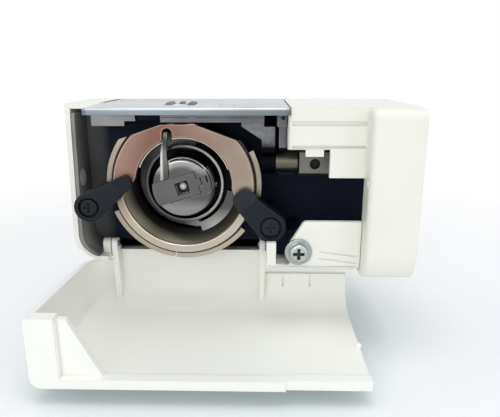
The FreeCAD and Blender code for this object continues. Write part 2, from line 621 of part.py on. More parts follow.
# Race body: rim, cover seat, conical mouth, bore and back web, cut away above like its cover
SEAT_Y = 2.0
RIM_Y = 0.4
RIM_BACK_Y = 4.0
CONE_Y = 3.2
HEAD_SINK = 1.4
top_line = [(-8.0, COVER_TOP_Z), (4.9, COVER_TOP_Z + 0.1), (22.0, 17.8), (FAR, 3.2), (FAR, FAR), (-FAR, FAR),
            (-FAR, 6.0)]
race = spun([(RACE_SEAT_R, 0.0), (RACE_CONE_R, 0.0), (RACE_BORE_R, CONE_Y), (RACE_BORE_R, RACE_BORE_Y),
             (RACE_EYE_R, RACE_BORE_Y), (RACE_EYE_R, RACE_BACK_Y), (RACE_CUP_R, RACE_BACK_Y),
             (RACE_CUP_R, RIM_BACK_Y), (RACE_RIM_IN, RIM_BACK_Y), (RACE_RIM_IN, SEAT_Y),
             (RACE_SEAT_R, SEAT_Y)], 0.0, 360.0)
rim_section = [(RACE_RIM_IN, RIM_Y), (RACE_RIM_R, RIM_Y), (RACE_RIM_R, RIM_BACK_Y),
               (RACE_SEAT_R + 0.1, RIM_BACK_Y), (RACE_SEAT_R + 0.1, SEAT_Y + 0.6),
               (RACE_RIM_IN, SEAT_Y + 0.6)]
for a0, a1 in ((139.0, 178.0), (201.5, 260.8), (262.2, 322.0), (-9.0, 26.7)):
    race = race.fuse(spun(rim_section, a0, a1))
race = race.cut(box(-FAR, FAR, -5, 30, RACE_FLAT_Z, FAR))
race = race.cut(prism_xz([(x, z - 0.3) for x, z in top_line], -5, RIM_BACK_Y))
for k in range(3):
    shank_hole = cyl_y(RACE_SCREW_R + 0.1, RACE_BORE_Y - 1, RACE_BACK_Y + 1, RACE_SCREW_AT, 0)
    head_hole = cyl_y(RACE_HEAD_R + SLIP, RACE_BORE_Y - 1, RACE_BORE_Y + HEAD_SINK, RACE_SCREW_AT, 0)
    race = race.cut(turned(shank_hole.fuse(head_hole), 90 + 120 * k))
save("race_body", on_axis(one(race)))

screws = []
for k in range(3):
    head = cyl_y(RACE_HEAD_R, RACE_BORE_Y + 0.1, RACE_BORE_Y + HEAD_SINK, RACE_SCREW_AT, 0)
    head = head.fuse(cyl_y(RACE_SCREW_R, RACE_BORE_Y + 1.0, RACE_SCREW_END, RACE_SCREW_AT, 0))
    slot = box(RACE_SCREW_AT - 3, RACE_SCREW_AT + 3, RACE_BORE_Y, RACE_BORE_Y + 0.7, -0.35, 0.35)
    screws.append(on_axis(turned(one(head.cut(slot)), 90 + 120 * k)))
save("race_screws", Part.makeCompound(screws))

# Race cover: ring that is deep above and narrow below, with a shoulder on each side, and the notch
LEFT_SHOULDER_X = -17.4
LEFT_SHOULDER_Z = 5.0
LEFT_LEAN = 0.66
RIGHT_SHOULDER_X = 18.3
RIGHT_SHOULDER_Z = 0.2
RIGHT_LEAN = 0.32
widening = [(LEFT_SHOULDER_X, LEFT_SHOULDER_Z),
            (LEFT_SHOULDER_X - LEFT_LEAN * (FAR + LEFT_SHOULDER_Z), -FAR),
            (RIGHT_SHOULDER_X + RIGHT_LEAN * (FAR + RIGHT_SHOULDER_Z), -FAR),
            (RIGHT_SHOULDER_X, RIGHT_SHOULDER_Z)]
opening = cyl_y(COVER_LOW_R, -5, 5).common(prism_xz(widening, -5, 5))
opening = opening.fuse(cyl_y(COVER_IN_R, -5, 5))
notch = box(NOTCH_X - NOTCH_R, NOTCH_X + NOTCH_R, -5, 5, 10.0, NOTCH_Z)
notch = notch.fuse(cyl_y(NOTCH_R, -5, 5, NOTCH_X, NOTCH_Z)).removeSplitter()
cover = cyl_y(COVER_R, -COVER_T, 0.0).cut(opening).cut(notch).cut(prism_xz(top_line, -5, 5))
cover = one(cover)
cover = round_along(cover, V(0, 1, 0), lambda c: abs(c.x - NOTCH_X) < NOTCH_R + 0.1 and c.z < NOTCH_Z - 1,
                    NOTCH_MOUTH_R)
cover = cover.makeChamfer(COVER_BEVEL, face_edges(cover, -COVER_T))
lip = ring_y(HOOK_R - 0.12, LIP_IN_R, -0.1, HOOK_FRONT_Y - 0.3)
lip = lip.common(sector_y(20.0, 158.0, FAR, -5, 5)).cut(notch)
cover = cover.fuse(lip)
save("race_cover", on_axis(one(cover)))


# Levers that clamp the race cover, drawn pointing along +X and turned to their rest angle
NOSE_SLOPE_AT = 0.66
NOSE_DROP = 2.4
NOSE_ROUND = 0.42


def lever(x, z, angle, length, boss_r, nose_w):
    half = nose_w / 2
    body = prism_xz([(0, boss_r), (length, half), (length, -half), (0, -boss_r)], LEVER_TOP, LEVER_BACK)
    body = body.fuse(cyl_y(boss_r, LEVER_TOP, LEVER_BACK)).removeSplitter()
    body = round_along(body, V(0, 1, 0), lambda c: c.x > length - 0.1, nose_w * NOSE_ROUND)
    slope = prism_xy([(length * NOSE_SLOPE_AT, LEVER_TOP), (length * NOSE_SLOPE_AT, LEVER_TOP - 5),
                      (length + 5, LEVER_TOP - 5), (length + 5, LEVER_TOP + NOSE_DROP * 1.7),
                      (length, LEVER_TOP + NOSE_DROP)], -FAR, FAR)
    body = body.cut(slope)
    body = body.makeFillet(0.5, face_edges(body, LEVER_TOP, 3.0))
    body = body.cut(cyl_y(boss_r - LEVER_BOSS_WALL, LEVER_TOP - 1, LEVER_TOP + LEVER_SINK))
    body = body.cut(cyl_y(LEVER_SCREW_R + RUN, LEVER_TOP - 1, LEVER_BACK + 1))
    body = turned(one(body), angle)
    body.translate(V(x, 0, z))
    return body


save("lever_left", lever(LEFT_X, LEFT_Z, LEFT_ANGLE, LEFT_LEN, LEFT_BOSS, LEFT_NOSE))
save("lever_right", lever(RIGHT_X, RIGHT_Z, RIGHT_ANGLE, RIGHT_LEN, RIGHT_BOSS, RIGHT_NOSE))

screws = []
for sx, sz, boss_r in ((LEFT_X, LEFT_Z, LEFT_BOSS), (RIGHT_X, RIGHT_Z, RIGHT_BOSS)):
    head_y = LEVER_TOP + 0.1
    head = cyl_y(boss_r - LEVER_BOSS_WALL - 0.8, head_y, LEVER_TOP + LEVER_SINK - RUN, sx, sz)
    head = head.makeFillet(0.4, face_edges(head, head_y))
    head = head.fuse(cyl_y(LEVER_SCREW_R, LEVER_TOP + 1.0, 8.5, sx, sz))
    screws.append(one(head.cut(cross_recess(sx, head_y - 0.1, sz, 2.0, 1.2))))
save("lever_screws", Part.makeCompound(screws))

# Hook: crescent rim, thin basket ring with its beak, back web and the centre post
RIM_A0 = -72.0
RIM_A1 = -10.0
TAIL_A1 = 75.0
BEAK_SPAN = 34.0
BEAK_STEPS = 8
BEAK_ROOT = 2.9
hook = ring_y(HOOK_R, HOOK_RIM_IN, HOOK_FRONT_Y, HOOK_BACK_Y).common(sector_y(RIM_A0, RIM_A1, FAR, 0, 20))
tail = ring_y(HOOK_R, HOOK_RIM_IN, HOOK_TAIL_Y, HOOK_BACK_Y)
tail = tail.common(sector_y(RIM_A1 - 1, TAIL_A1, FAR, 0, 20))
web = cyl_y(HOOK_R - 0.6, HOOK_WEB_Y, HOOK_BACK_Y).common(sector_y(RIM_A0, TAIL_A1, FAR, 0, 20))
basket = ring_y(BASKET_R, BASKET_IN, BASKET_Y, HOOK_WEB_Y + 0.1)
basket = basket.makeChamfer(0.3, face_edges(basket, BASKET_Y))
hook = hook.fuse([tail, web, cyl_y(BASKET_R, HOOK_WEB_Y, HOOK_BACK_Y), basket])
beak_pts = []
for i in range(BEAK_STEPS + 1):
    a = math.radians(RIM_A0 - BEAK_SPAN * i / BEAK_STEPS)
    r_out = BASKET_R + 0.1 + BEAK_ROOT * (1 - i / BEAK_STEPS)
    beak_pts.append((r_out * math.cos(a), r_out * math.sin(a)))
for i in range(BEAK_STEPS + 1):
    a = math.radians(RIM_A0 - BEAK_SPAN * (1 - i / BEAK_STEPS))
    r_in = (BASKET_R + BASKET_IN) / 2
    beak_pts.append((r_in * math.cos(a), r_in * math.sin(a)))
hook = hook.fuse(prism_xz(beak_pts, HOOK_FRONT_Y, HOOK_FRONT_Y + 1.8))
post = cyl_y(POST_R, POST_TIP_Y, HOOK_WEB_Y + 0.3)
post = post.makeChamfer(0.4, face_edges(post, POST_TIP_Y))
post = post.cut(ring_y(4.0, POST_R - 0.45, POST_TIP_Y + 1.2, POST_TIP_Y + 2.2))
hook = hook.fuse(post)
thread_slot = ring_y(BASKET_R - 0.3, BASKET_IN - 1, HOOK_WEB_Y - 3.0, HOOK_WEB_Y - 1.4)
hook = hook.cut(thread_slot.common(sector_y(150, 250, FAR, 0, 20)))
save("shuttle_hook", on_axis(one(hook)))

# Driver, shaft, bush, retaining ring and gear behind the hook
HORN_GAP = 1.3
HORN_SPAN = 9.0
HORN_REACH = 3.0
DRIVER_HUB_R = 9.2
SHAFT_END = 38.0
GROOVE_Y = 27.4
GROOVE_W = 0.8
GROOVE_R = SHAFT_R - 0.5
GEAR_R = 9.0
GEAR_ROOT_R = 7.4
GEAR_Y = 29.0
GEAR_T = 6.0
GEAR_TEETH = 18
DRIVER_BACK = DRIVER_Y + DRIVER_T
driver = cyl_y(DRIVER_HUB_R, DRIVER_Y, DRIVER_BACK)
horn_a0 = TAIL_A1 + HORN_GAP
horn_a1 = 360 + RIM_A0 - HORN_GAP
blade = ring_y(HOOK_R - 0.8, DRIVER_HUB_R - 1, DRIVER_Y, DRIVER_BACK)
driver = driver.fuse(blade.common(sector_y(horn_a0, horn_a1, FAR, 0, 20)))
for a0 in (horn_a0, horn_a1 - HORN_SPAN):
    horn = ring_y(HOOK_R - CLEAR, HOOK_RIM_IN + SLIP, HOOK_BACK_Y - HORN_REACH, DRIVER_BACK)
    driver = driver.fuse(horn.common(sector_y(a0, a0 + HORN_SPAN, FAR, 0, 20)))
driver = driver.cut(cyl_y(SHAFT_R, 0, 20))
save("hook_driver", on_axis(one(driver)))
shaft = cyl_y(SHAFT_R, DRIVER_Y, SHAFT_END)
shaft = shaft.makeChamfer(0.4, face_edges(shaft, SHAFT_END))
shaft = shaft.cut(ring_y(SHAFT_R + 2, GROOVE_R, GROOVE_Y, GROOVE_Y + GROOVE_W))
save("hook_shaft", on_axis(one(shaft)))
bush = ring_y(SHAFT_BUSH_R, SHAFT_R + 0.03, RACE_BACK_Y - 0.5, BACK_Y + BACK_T + 3.0)
save("shaft_bush", on_axis(bush))
clip = ring_y(SHAFT_R + 1.6, GROOVE_R + 0.02, GROOVE_Y + 0.02, GROOVE_Y + GROOVE_W - 0.02)
clip = clip.cut(box(-1.6, 1.6, GROOVE_Y - 1, GROOVE_Y + 2, 0, 8))
save("shaft_clip", on_axis(one(clip)))
gear = cyl_y(GEAR_R, GEAR_Y, GEAR_Y + GEAR_T)
for k in range(GEAR_TEETH):
    gap = prism_xz([(GEAR_ROOT_R, -0.5), (GEAR_ROOT_R, 0.5), (GEAR_R + 0.4, 1.05), (GEAR_R + 0.4, -1.05)],
                   GEAR_Y - 1, GEAR_Y + GEAR_T + 1)
    gear = gear.cut(turned(gap, 360.0 * k / GEAR_TEETH))
gear = gear.cut(cyl_y(SHAFT_R, GEAR_Y - 1, GEAR_Y + GEAR_T + 1))
save("drive_gear", on_axis(one(gear)))

# Bobbin case, drawn square and turned to the tilt of its latch
PAD_GAP = 0.25
SLIDE_W = 3.5
SLIDE_T = 0.47
SLIDE_SINK = 0.08
GUIDE_DEPTH = SLIDE_SINK + SLIDE_T + 0.05
HOLE_U = 2.5
HOLE_LOW = -2.65
HOLE_HIGH = 2.2
MOUTH_R = 2.3
MOUTH_DEPTH = 3.2
FINGER_T = 0.9


def tilted(shape):
    return turned(shape, FLAP_TILT)


def pin_bar(radius, v0, v1):
    return Part.makeCylinder(radius, v1 - v0, V(FLAP_PIN_U, FLAP_PIN_Y, v0), V(0, 0, 1))


def face_pad(height, keep, rounding):
    """Raised part of the case front with a rounded rim."""
    body = cyl_y(PAD_R, CASE_FRONT - height, CASE_FRONT + 0.5)
    body = body.makeFillet(rounding, face_edges(body, CASE_FRONT - height))
    return body.common(keep)


case = cyl_y(CASE_R, CASE_FRONT, CASE_BACK)
case = case.makeFillet(0.7, face_edges(case, CASE_FRONT))
dome = face_pad(DOME_H, box(-20, 20, -20, 0, FLAP_HIGH + PAD_GAP, 20).cut(
    turned(box(-20, -4.6, -20, 0, 0, 20), -FLAP_TILT)), 1.2)
cap = face_pad(PAD_H, box(-6.6, 20, -20, 0, -20, FLAP_LOW - PAD_GAP), 0.4)
hinge_keep = box(FLAP_EDGE_U + PAD_GAP, 20, -20, 0, FLAP_LOW, FLAP_HIGH)
hinge_pad = face_pad(PAD_H, hinge_keep, 0.3)
hinge_pad = hinge_pad.cut(box(0, FLAP_PIN_U + KNUCKLE_R + PAD_GAP, -20, CASE_FRONT,
                              KNUCKLE_LOW - PAD_GAP, KNUCKLE_HIGH + PAD_GAP))
hinge_pad = hinge_pad.cut(box(CASE_R - 2.1, CASE_R - 1.4, -20, CASE_FRONT + 0.3, -1.0, 2.0))
case = case.fuse([dome, cap, hinge_pad])
case = case.cut(cyl_y(CASE_R - CASE_WALL, CASE_FRONT + CASE_FACE_T, CASE_BACK + 1))
case = case.fuse(cyl_y(TUBE_R, CASE_FRONT + CASE_FACE_T - 0.1, CASE_BACK - 0.6))
case = case.cut(cyl_y(POST_R + 0.08, -20, 20))
case = case.cut(cyl_y(MOUTH_R, -20, CASE_FRONT + MOUTH_DEPTH))
case = case.cut(box(-HOLE_U, HOLE_U, -20, CASE_FRONT + CASE_FACE_T, HOLE_LOW, HOLE_HIGH))
case = case.cut(box(-9.0, CASE_R + 1, CASE_FRONT, CASE_FRONT + GUIDE_DEPTH, -SLIDE_W - SLIP, SLIDE_W + SLIP))
case = case.cut(box(-20, -9.4, CASE_FRONT + 3.0, CASE_BACK + 1, -6.0, -4.6))
case = case.cut(pin_bar(FLAP_PIN_R + 0.02, FLAP_LOW + 0.3, FLAP_HIGH - 0.3))
case = tilted(case)
case = case.cut(Part.makeCylinder(TENSION_R + 0.02, 5, V(CASE_R - 2, TENSION_Y, 0), V(1, 0, 0)))
save("case_cup", on_axis(one(case)))

# Position finger: strip that stands on the case and reaches into the notch of the race cover
FINGER_LEAN_Z = 12.0
FINGER_TIP_Z = 21.0
outline = [(-8.4, 2.6), (-5.05, 3.6), (-5.75, 16.5), (-5.45, FINGER_TIP_Z), (-6.95, FINGER_TIP_Z),
           (-7.2, 18.6), (-7.8, 16.5)]
bend = [(CASE_FRONT, 0.0), (CASE_FRONT, FINGER_LEAN_Z + 0.2), (-0.5, 19.2), (-0.5, FINGER_TIP_Z),
        (-0.5 - FINGER_T, FINGER_TIP_Z), (-0.5 - FINGER_T, 19.6),
        (CASE_FRONT - FINGER_T, FINGER_LEAN_Z + 0.6),
        (CASE_FRONT - FINGER_T, 0.0)]
finger = prism_yz(bend, -20, 0).common(prism_xz(outline, -20, 5))
save("position_finger", on_axis(one(finger)))

flap_front = CASE_FRONT - 0.1 - FLAP_T
flap_back = CASE_FRONT - 0.1
flap = box(-CASE_R, FLAP_EDGE_U, flap_front, flap_back, FLAP_LOW, FLAP_HIGH)
flap = flap.common(cyl_y(CASE_R - 0.2, -20, 0))
neck = box(FLAP_EDGE_U - 0.1, FLAP_PIN_U, flap_front, flap_back, KNUCKLE_LOW, KNUCKLE_HIGH)
flap = flap.fuse([neck, pin_bar(KNUCKLE_R, KNUCKLE_LOW, KNUCKLE_HIGH)])
flap = flap.cut(box(-HOLE_U, HOLE_U, -20, 0, HOLE_LOW, HOLE_HIGH))
flap = flap.cut(pin_bar(FLAP_PIN_R + 0.02, -20, 20))
flap = one(flap.common(box(-20, 20, flap_front, flap_back, -20, 20)))
save("latch_flap", on_axis(tilted(flap)))
save("flap_pin", on_axis(tilted(pin_bar(FLAP_PIN_R, FLAP_LOW + 0.4, FLAP_HIGH - 0.4))))
slide_front = CASE_FRONT + SLIDE_SINK
slide = box(-6.0, CASE_R - 1.0, slide_front, slide_front + SLIDE_T, -SLIDE_W, SLIDE_W)
slide = slide.cut(box(-HOLE_U - 1.3, HOLE_U + 0.1, -20, 0, HOLE_LOW - 0.1, HOLE_HIGH + 0.1))
save("latch_slide", on_axis(tilted(slide)))

spring_in = CASE_R + 0.01
spring = ring_y(spring_in + SPRING_T, spring_in, TENSION_Y - 3.6, TENSION_Y + 3.6)
spring = spring.common(sector_y(-58, 40, FAR, -20, 20))
spring = spring.cut(Part.makeCylinder(TENSION_R + 0.1, 30, V(0, TENSION_Y, 0), V(1, 0, 0)))
save("tension_spring", on_axis(one(spring)))
head_x = spring_in + SPRING_T + 0.01
tension_screw = Part.makeCylinder(1.3, 0.8, V(head_x, TENSION_Y, 0), V(1, 0, 0))
tension_screw = tension_screw.cut(box(head_x + 0.44, 20, TENSION_Y - 2, TENSION_Y + 2, -0.2, 0.2))
shank_x = CASE_R - 0.6
shank = Part.makeCylinder(TENSION_R, head_x - shank_x + 0.1, V(shank_x, TENSION_Y, 0), V(1, 0, 0))
tension_screw = tension_screw.fuse(shank)
save("tension_screw", on_axis(one(tension_screw)))

# Bobbin with pierced flanges
bobbin = cyl_y(TUBE_R + 1.3, BOBBIN_Y, BOBBIN_Y + BOBBIN_LEN)
for y0 in (BOBBIN_Y, BOBBIN_Y + BOBBIN_LEN - FLANGE_DISC_T):
    disc = cyl_y(BOBBIN_R, y0, y0 + FLANGE_DISC_T)
    for k in range(6):
        disc = disc.cut(turned(cyl_y(1.2, y0 - 1, y0 + 2, BOBBIN_R * 0.68, 0), 60 * k))
    bobbin = bobbin.fuse(disc)
bobbin = bobbin.cut(cyl_y(TUBE_R + 0.1, -20, 20))
save("bobbin", on_axis(one(bobbin)))

# Feed: rock shaft, bush, crank, driven block, bar and toothed dog
HUB_R = 5.0
rock_shaft = cyl_x(ROCK_R, CRANK_LEFT, HOOK_TO_FLANGE, ROCK_Y, ROCK_Z)
save("rock_shaft", rock_shaft)
rock_bush = cyl_x(BUSH_R, BUSH_LEFT, BUSH_RIGHT, ROCK_Y, ROCK_Z)
rock_bush = rock_bush.cut(cyl_x(ROCK_R + RUN, 30, FAR, ROCK_Y, ROCK_Z))
save("rock_bush", rock_bush)
arm_pts = [(CRANK_LEFT, ROCK_Z), (CRANK_RIGHT, ROCK_Z), (CRANK_RIGHT, WEDGE_TOP), (BAR_RIGHT, WEDGE_TOP),
           (BAR_RIGHT, BAR_LOW), (WEDGE_LEFT, BAR_LOW), (WEDGE_LEFT, WEDGE_TOP), (CRANK_LEFT, WEDGE_LOW)]
crank = cyl_x(HUB_R, CRANK_LEFT, CRANK_RIGHT, ROCK_Y, ROCK_Z)
crank = crank.fuse(prism_xz(arm_pts, ROCK_Y - 3.0, ROCK_Y + 3.0))
crank = crank.cut(cyl_x(ROCK_R, 30, FAR, ROCK_Y, ROCK_Z))
save("feed_crank", one(crank))
block_pts = [(-6.0, 5.0), (6.0, 5.0), (6.0, -5.0), (-3.0, -5.0), (-6.0, -3.8)]
block = prism_yz([(ROCK_Y + y, ROCK_Z + z) for y, z in block_pts], BLOCK_LEFT, BLOCK_RIGHT)
block = round_along(block, V(1, 0, 0), lambda c: True, 0.6)
block = block.cut(cyl_x(ROCK_R, 30, 70, ROCK_Y, ROCK_Z))
block = block.cut(cyl_y(SET_SCREW_R, ROCK_Y - 7, ROCK_Y, SET_SCREW_X, ROCK_Z))
save("rock_block", one(block))
set_screw = cyl_y(SET_SCREW_R, ROCK_Y - ROCK_R - SET_SCREW_OUT, ROCK_Y, SET_SCREW_X, ROCK_Z)
set_screw = set_screw.cut(cyl_x(ROCK_R, 30, 70, ROCK_Y, ROCK_Z))
save("set_screw", max(set_screw.Solids, key=lambda s: s.Volume))
DOG_HALF = 5.8
DOG_SCREW_Y = (2.4, 5.8)
bar = box(BAR_LEFT, BAR_RIGHT, BAR_FRONT, BAR_BACK, BAR_LOW, BAR_TOP)
bar = bar.cut(box(-20, 50, BAR_FRONT - 1, BAR_FRONT + 0.5, 26.4, 26.7))
bar = bar.cut(box(12.0, 26.0, 2.0, 8.0, 20, 40))
bar = bar.cut(box(-DOG_HALF - SLIP, DOG_HALF + SLIP, BAR_FRONT + SLIP, BAR_BACK + 1, BAR_TOP - DOG_SEAT, 40))
for dog_y in DOG_SCREW_Y:
    bar = bar.cut(cyl_z(DOG_SCREW_R, 20, 40, 0, dog_y))
save("feed_bar", one(bar))
dog = box(-DOG_HALF, DOG_HALF, BAR_FRONT + CLEAR, BAR_BACK - SLIP, BAR_TOP - DOG_SEAT, BAR_TOP)
pitch = (DOG_BACK - DOG_FRONT) / DOG_TEETH
for row_x, row_y in ((-DOG_ROW_X, DOG_FRONT), (DOG_ROW_X, DOG_FRONT), (0.0, MID_ROW_Y)):
    row = box(row_x - DOG_ROW_W / 2, row_x + DOG_ROW_W / 2, row_y, DOG_BACK, BAR_TOP - 0.5, DOG_TOP)
    for k in range(DOG_TEETH + 1):
        ty = DOG_FRONT + pitch * k
        notch = prism_yz([(ty, DOG_TOP - 0.9), (ty + pitch, DOG_TOP + 0.1), (ty, DOG_TOP + 0.1)], -20, 20)
        row = row.cut(notch)
    dog = dog.fuse(row)
for dog_y in DOG_SCREW_Y:
    dog = dog.cut(cyl_z(DOG_SCREW_R, 20, 40, 0, dog_y))
save("feed_dog", one(dog))
screws = []
for dog_y in DOG_SCREW_Y:
    screw = cyl_z(DOG_SCREW_R, BAR_LOW, BAR_TOP, 0, dog_y)
    screws.append(one(screw.fuse(cyl_z(DOG_SCREW_R + 0.6, BAR_TOP, BAR_TOP + 0.4, 0, dog_y))))
save("dog_screws", Part.makeCompound(screws))

# Hinge pins of the door
PIN_IN = DOOR_RIB_X - DOOR_RIB_T - 0.6
pins = [cyl_x(PIN_R, -LUG_OUT, -PIN_IN, HINGE_Y, HINGE_Z)]
pins.append(cyl_x(PIN_R, PIN_IN, LUG_OUT, HINGE_Y, HINGE_Z))
save("hinge_pins", Part.makeCompound(pins))

# Door, drawn closed and then swung open about its hinge
PAD_X = -36.4
FLANGE_Z = PLATE_LOW - CLEAR
FLANGE_BACK_Y = 4.8
FLANGE_CORNER_X = -33.3
FLANGE_TOE_X = -22.2
FLANGE_TOE_Y = -16.6
LIP_STEP_X = 39.8
LIP_H = 3.9
LIP_RIGHT_H = 4.8
DOOR_LINE_X = (41.1, 53.1)
DOOR_LINE_W = 0.7
DOOR_LINE_D = 0.35
DOOR_LINE_END = -9.6
RIB_TOE_Y = -17.5
RIB_TOE_H = 6.0
lip_back = PLATE_FRONT - CLEAR
shell = door_block(0.0, DOOR_RIGHT, 20.0, DOOR_TOP)
door = shell.cut(door_block(DOOR_T, DOOR_RIGHT + 10, 40.0, DOOR_TOP + 20))
tip_zone = box(-FAR, -DOOR_RIB_X, -FAR, FAR, -FAR, FAR)
door = door.cut(behind_mate(0.0, -FAR, FAR).common(tip_zone))
mid_zone = box(-DOOR_RIB_X, DOOR_RIB_X, DOOR_MID_END, FAR, -FAR, FAR)
side_zone = box(DOOR_RIB_X, 90, DOOR_SIDE_END, FAR, -FAR, FAR)
door = door.cut(mid_zone).cut(side_zone)
pad = box(ARM_LEFT, PAD_X, ARM_FRONT, MATE_TOP_Y - SLIP, FLANGE_Z - DOOR_T, DOOR_TOP)
web_pts = [(ARM_LEFT, ARM_FRONT), (FLANGE_TOE_X, ARM_FRONT), (FLANGE_TOE_X, FLANGE_TOE_Y),
           (FLANGE_CORNER_X, FLANGE_BACK_Y), (ARM_LEFT, FLANGE_BACK_Y)]
web = prism_xy(web_pts, FLANGE_Z - DOOR_T, FLANGE_Z)
lip = box(PAD_X - 1, LIP_STEP_X, ARM_FRONT, lip_back, DOOR_TOP - LIP_H, DOOR_TOP)
lip_right = box(LIP_STEP_X - 0.8, DOOR_RIGHT, ARM_FRONT, lip_back, DOOR_TOP - LIP_RIGHT_H, DOOR_TOP)
door = door.fuse(pad.fuse([web, lip, lip_right]).common(shell))
door = door.cut(box(LIP_STEP_X, 90, -FAR, 0, DOOR_TOP - 1.0, FAR))
for rib_x in (-DOOR_RIB_X, DOOR_RIB_X - DOOR_RIB_T):
    rib = prism_yz([(HINGE_Y, HINGE_Z + EYE_R), (HINGE_Y + EYE_R, HINGE_Z), (HINGE_Y, HINGE_Z - EYE_R),
                    (DOOR_MID_END, ARM_FLOOR + 1), (RIB_TOE_Y, ARM_FLOOR + 1),
                    (RIB_TOE_Y, ARM_FLOOR + RIB_TOE_H), (4.0, HINGE_Z + 1.6)], rib_x, rib_x + DOOR_RIB_T)
    eye = cyl_x(EYE_R, rib_x, rib_x + DOOR_RIB_T, HINGE_Y, HINGE_Z)
    door = door.fuse(rib.fuse(eye).common(shell.fuse(box(-FAR, FAR, 0, 20, -33, 0))))
line_z = ARM_FLOOR + DOOR_T
for line_x in DOOR_LINE_X:
    door = door.cut(box(line_x - DOOR_LINE_W / 2, line_x + DOOR_LINE_W / 2, DOOR_LINE_END, DOOR_SIDE_END + 1,
                        line_z - DOOR_LINE_D, line_z + 1))
nub = Part.makeSphere(NUB_R, V(DOOR_RIGHT - 0.5, NUB_Y, NUB_Z))
door = door.fuse(nub.common(box(FAR, 80, ARM_FRONT + 0.5, PLATE_FRONT, 0, 10)))
door = door.cut(cyl_x(PIN_R + RUN, -FAR, FAR, HINGE_Y, HINGE_Z))
door = one(door)
door.rotate(V(0, HINGE_Y, HINGE_Z), V(1, 0, 0), 90)
save("door", door)
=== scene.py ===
import json
import math

import bpy
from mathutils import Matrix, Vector


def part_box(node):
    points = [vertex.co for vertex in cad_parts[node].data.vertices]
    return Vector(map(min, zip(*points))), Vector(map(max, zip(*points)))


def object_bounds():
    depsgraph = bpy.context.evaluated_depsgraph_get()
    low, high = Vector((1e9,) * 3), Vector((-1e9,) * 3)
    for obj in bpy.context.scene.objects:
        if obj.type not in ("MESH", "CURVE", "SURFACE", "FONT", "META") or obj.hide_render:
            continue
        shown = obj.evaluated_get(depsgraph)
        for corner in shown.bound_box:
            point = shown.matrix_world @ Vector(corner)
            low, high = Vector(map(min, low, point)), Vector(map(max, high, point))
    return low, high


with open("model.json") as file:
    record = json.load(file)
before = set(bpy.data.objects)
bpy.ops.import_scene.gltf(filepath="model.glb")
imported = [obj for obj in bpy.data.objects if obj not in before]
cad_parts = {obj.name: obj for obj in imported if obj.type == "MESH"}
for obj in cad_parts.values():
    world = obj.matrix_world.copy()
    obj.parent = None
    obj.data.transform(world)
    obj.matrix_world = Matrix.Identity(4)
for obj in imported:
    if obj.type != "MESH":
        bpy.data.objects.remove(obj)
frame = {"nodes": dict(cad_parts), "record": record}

CAD_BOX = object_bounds()
NODES = frame["nodes"]
MM = 0.001

# Hook axis at the seat of the race cover, the point that the photograph's camera was measured from.
SHAFT_LOW, SHAFT_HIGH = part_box("hook_shaft")
RACE_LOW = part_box("race_body")[0]
HOOK = Vector(((SHAFT_LOW.x + SHAFT_HIGH.x) / 2, RACE_LOW.y, (SHAFT_LOW.z + SHAFT_HIGH.z) / 2))

# Corners of other pieces whose finish changes from place to place.
CAST_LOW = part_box("arm_casting")[0]
PLATE_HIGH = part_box("needle_plate")[1]
FINGER_LOW, FINGER_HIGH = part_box("position_finger")
SCREW_LOW, SCREW_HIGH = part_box("cover_screw")

# Camera of the photograph.
CAMERA_FROM_HOOK = Vector((30.2, -192.7, 43.9)) * MM
CAMERA_PITCH = math.radians(15.48)
CAMERA_YAW = math.radians(1.2)
LENS = 36.0
SENSOR = 36.0
CLIP_START = 0.01

# Soft boxes: place from the hook and the point aimed at, in metres, then size, watts and tint.
LAMPS = {
    "key": ((-0.30, -1.02, 0.24), (0.0, 0.0, -0.03), 0.6, 2.6, (1.0, 0.985, 0.965)),
    "top": ((0.05, -0.22, 1.05), (0.0, 0.0, -0.03), 0.7, 4.2, (0.97, 0.985, 1.0)),
    "fill": ((0.72, -0.55, 0.40), (-0.03, 0.0, -0.03), 0.5, 1.1, (0.98, 0.99, 1.0)),
}

# Pale room: colour at the horizon, colour overhead, height where that is reached, and strength.
ROOM_HORIZON = (0.60, 0.61, 0.62, 1.0)
ROOM_OVERHEAD = (0.95, 0.97, 1.0, 1.0)
ROOM_OVERHEAD_AT = 0.75
ROOM_STRENGTH = 0.63
WHITE = (1.0, 1.0, 1.0, 1.0)

# Floor below the open door: how far below, the size of the sheet, and where it is lifted to white.
FLOOR_DROP = 6.5 * MM
FLOOR_SIZE = 6.0
FLOOR_NEAR = 0.10
FLOOR_FAR = 0.34
FLOOR_NEAR_LIFT = 0.16

# Shade on the floor: how far the part reaches, how shut in and how open a place is, and the share of shade.
FLOOR_SHADE = 110 * MM
FLOOR_SHUT = 0.25
FLOOR_OPEN = 0.86
FLOOR_SHADE_SHARE = 0.64

# Radii about the hook axis, in millimetres: mouth of the race, painted highlight arch and painted shade of the
# pocket of the case, post and its tip.
RIM_WIDTH = 2.3
OIL_LINE = 0.45
MOUTH_RADIUS = 25.0
ARCH_HIGHLIGHT_RADII = (7.6, 9.4)
POCKET_RADIUS = 3.7
POST_RADIUS = 2.2
TIP_RADIUS = 0.8

# Radii about the axis of the cover screw between which its recess ends, in millimetres; the recess is painted dark
# as shade.
RECESS_RADII = (2.5, 2.9)

# Most of a noise lies between these two values.
NOISE_LOW = 0.3
NOISE_HIGH = 0.7

# Ground metal: coarse noise along the lines and fine noise across them.
LINE_DETAIL = 6.0
ALONG_X = (60.0, 5200.0, 5200.0)
ALONG_Y = (5200.0, 60.0, 5200.0)
ALONG_FINGER = (5200.0, 60.0, 400.0)

# Turning marks on each millimetre of radius.
TURNED_MARKS = 9.0
COVER_MARKS = 14.0
MARK_DETAIL = 4.0

# Bump of ground and turned metal.
METAL_BUMP = dict(depth=0.02 * MM, strength=0.35, edge=0.18 * MM)

# Edges are found by how far a rounded normal leans from the face.
EDGE_LEAN = 0.80
FLAT_LEAN = 0.99
BEVEL_SAMPLES = 6
OCCLUSION_SAMPLES = 8

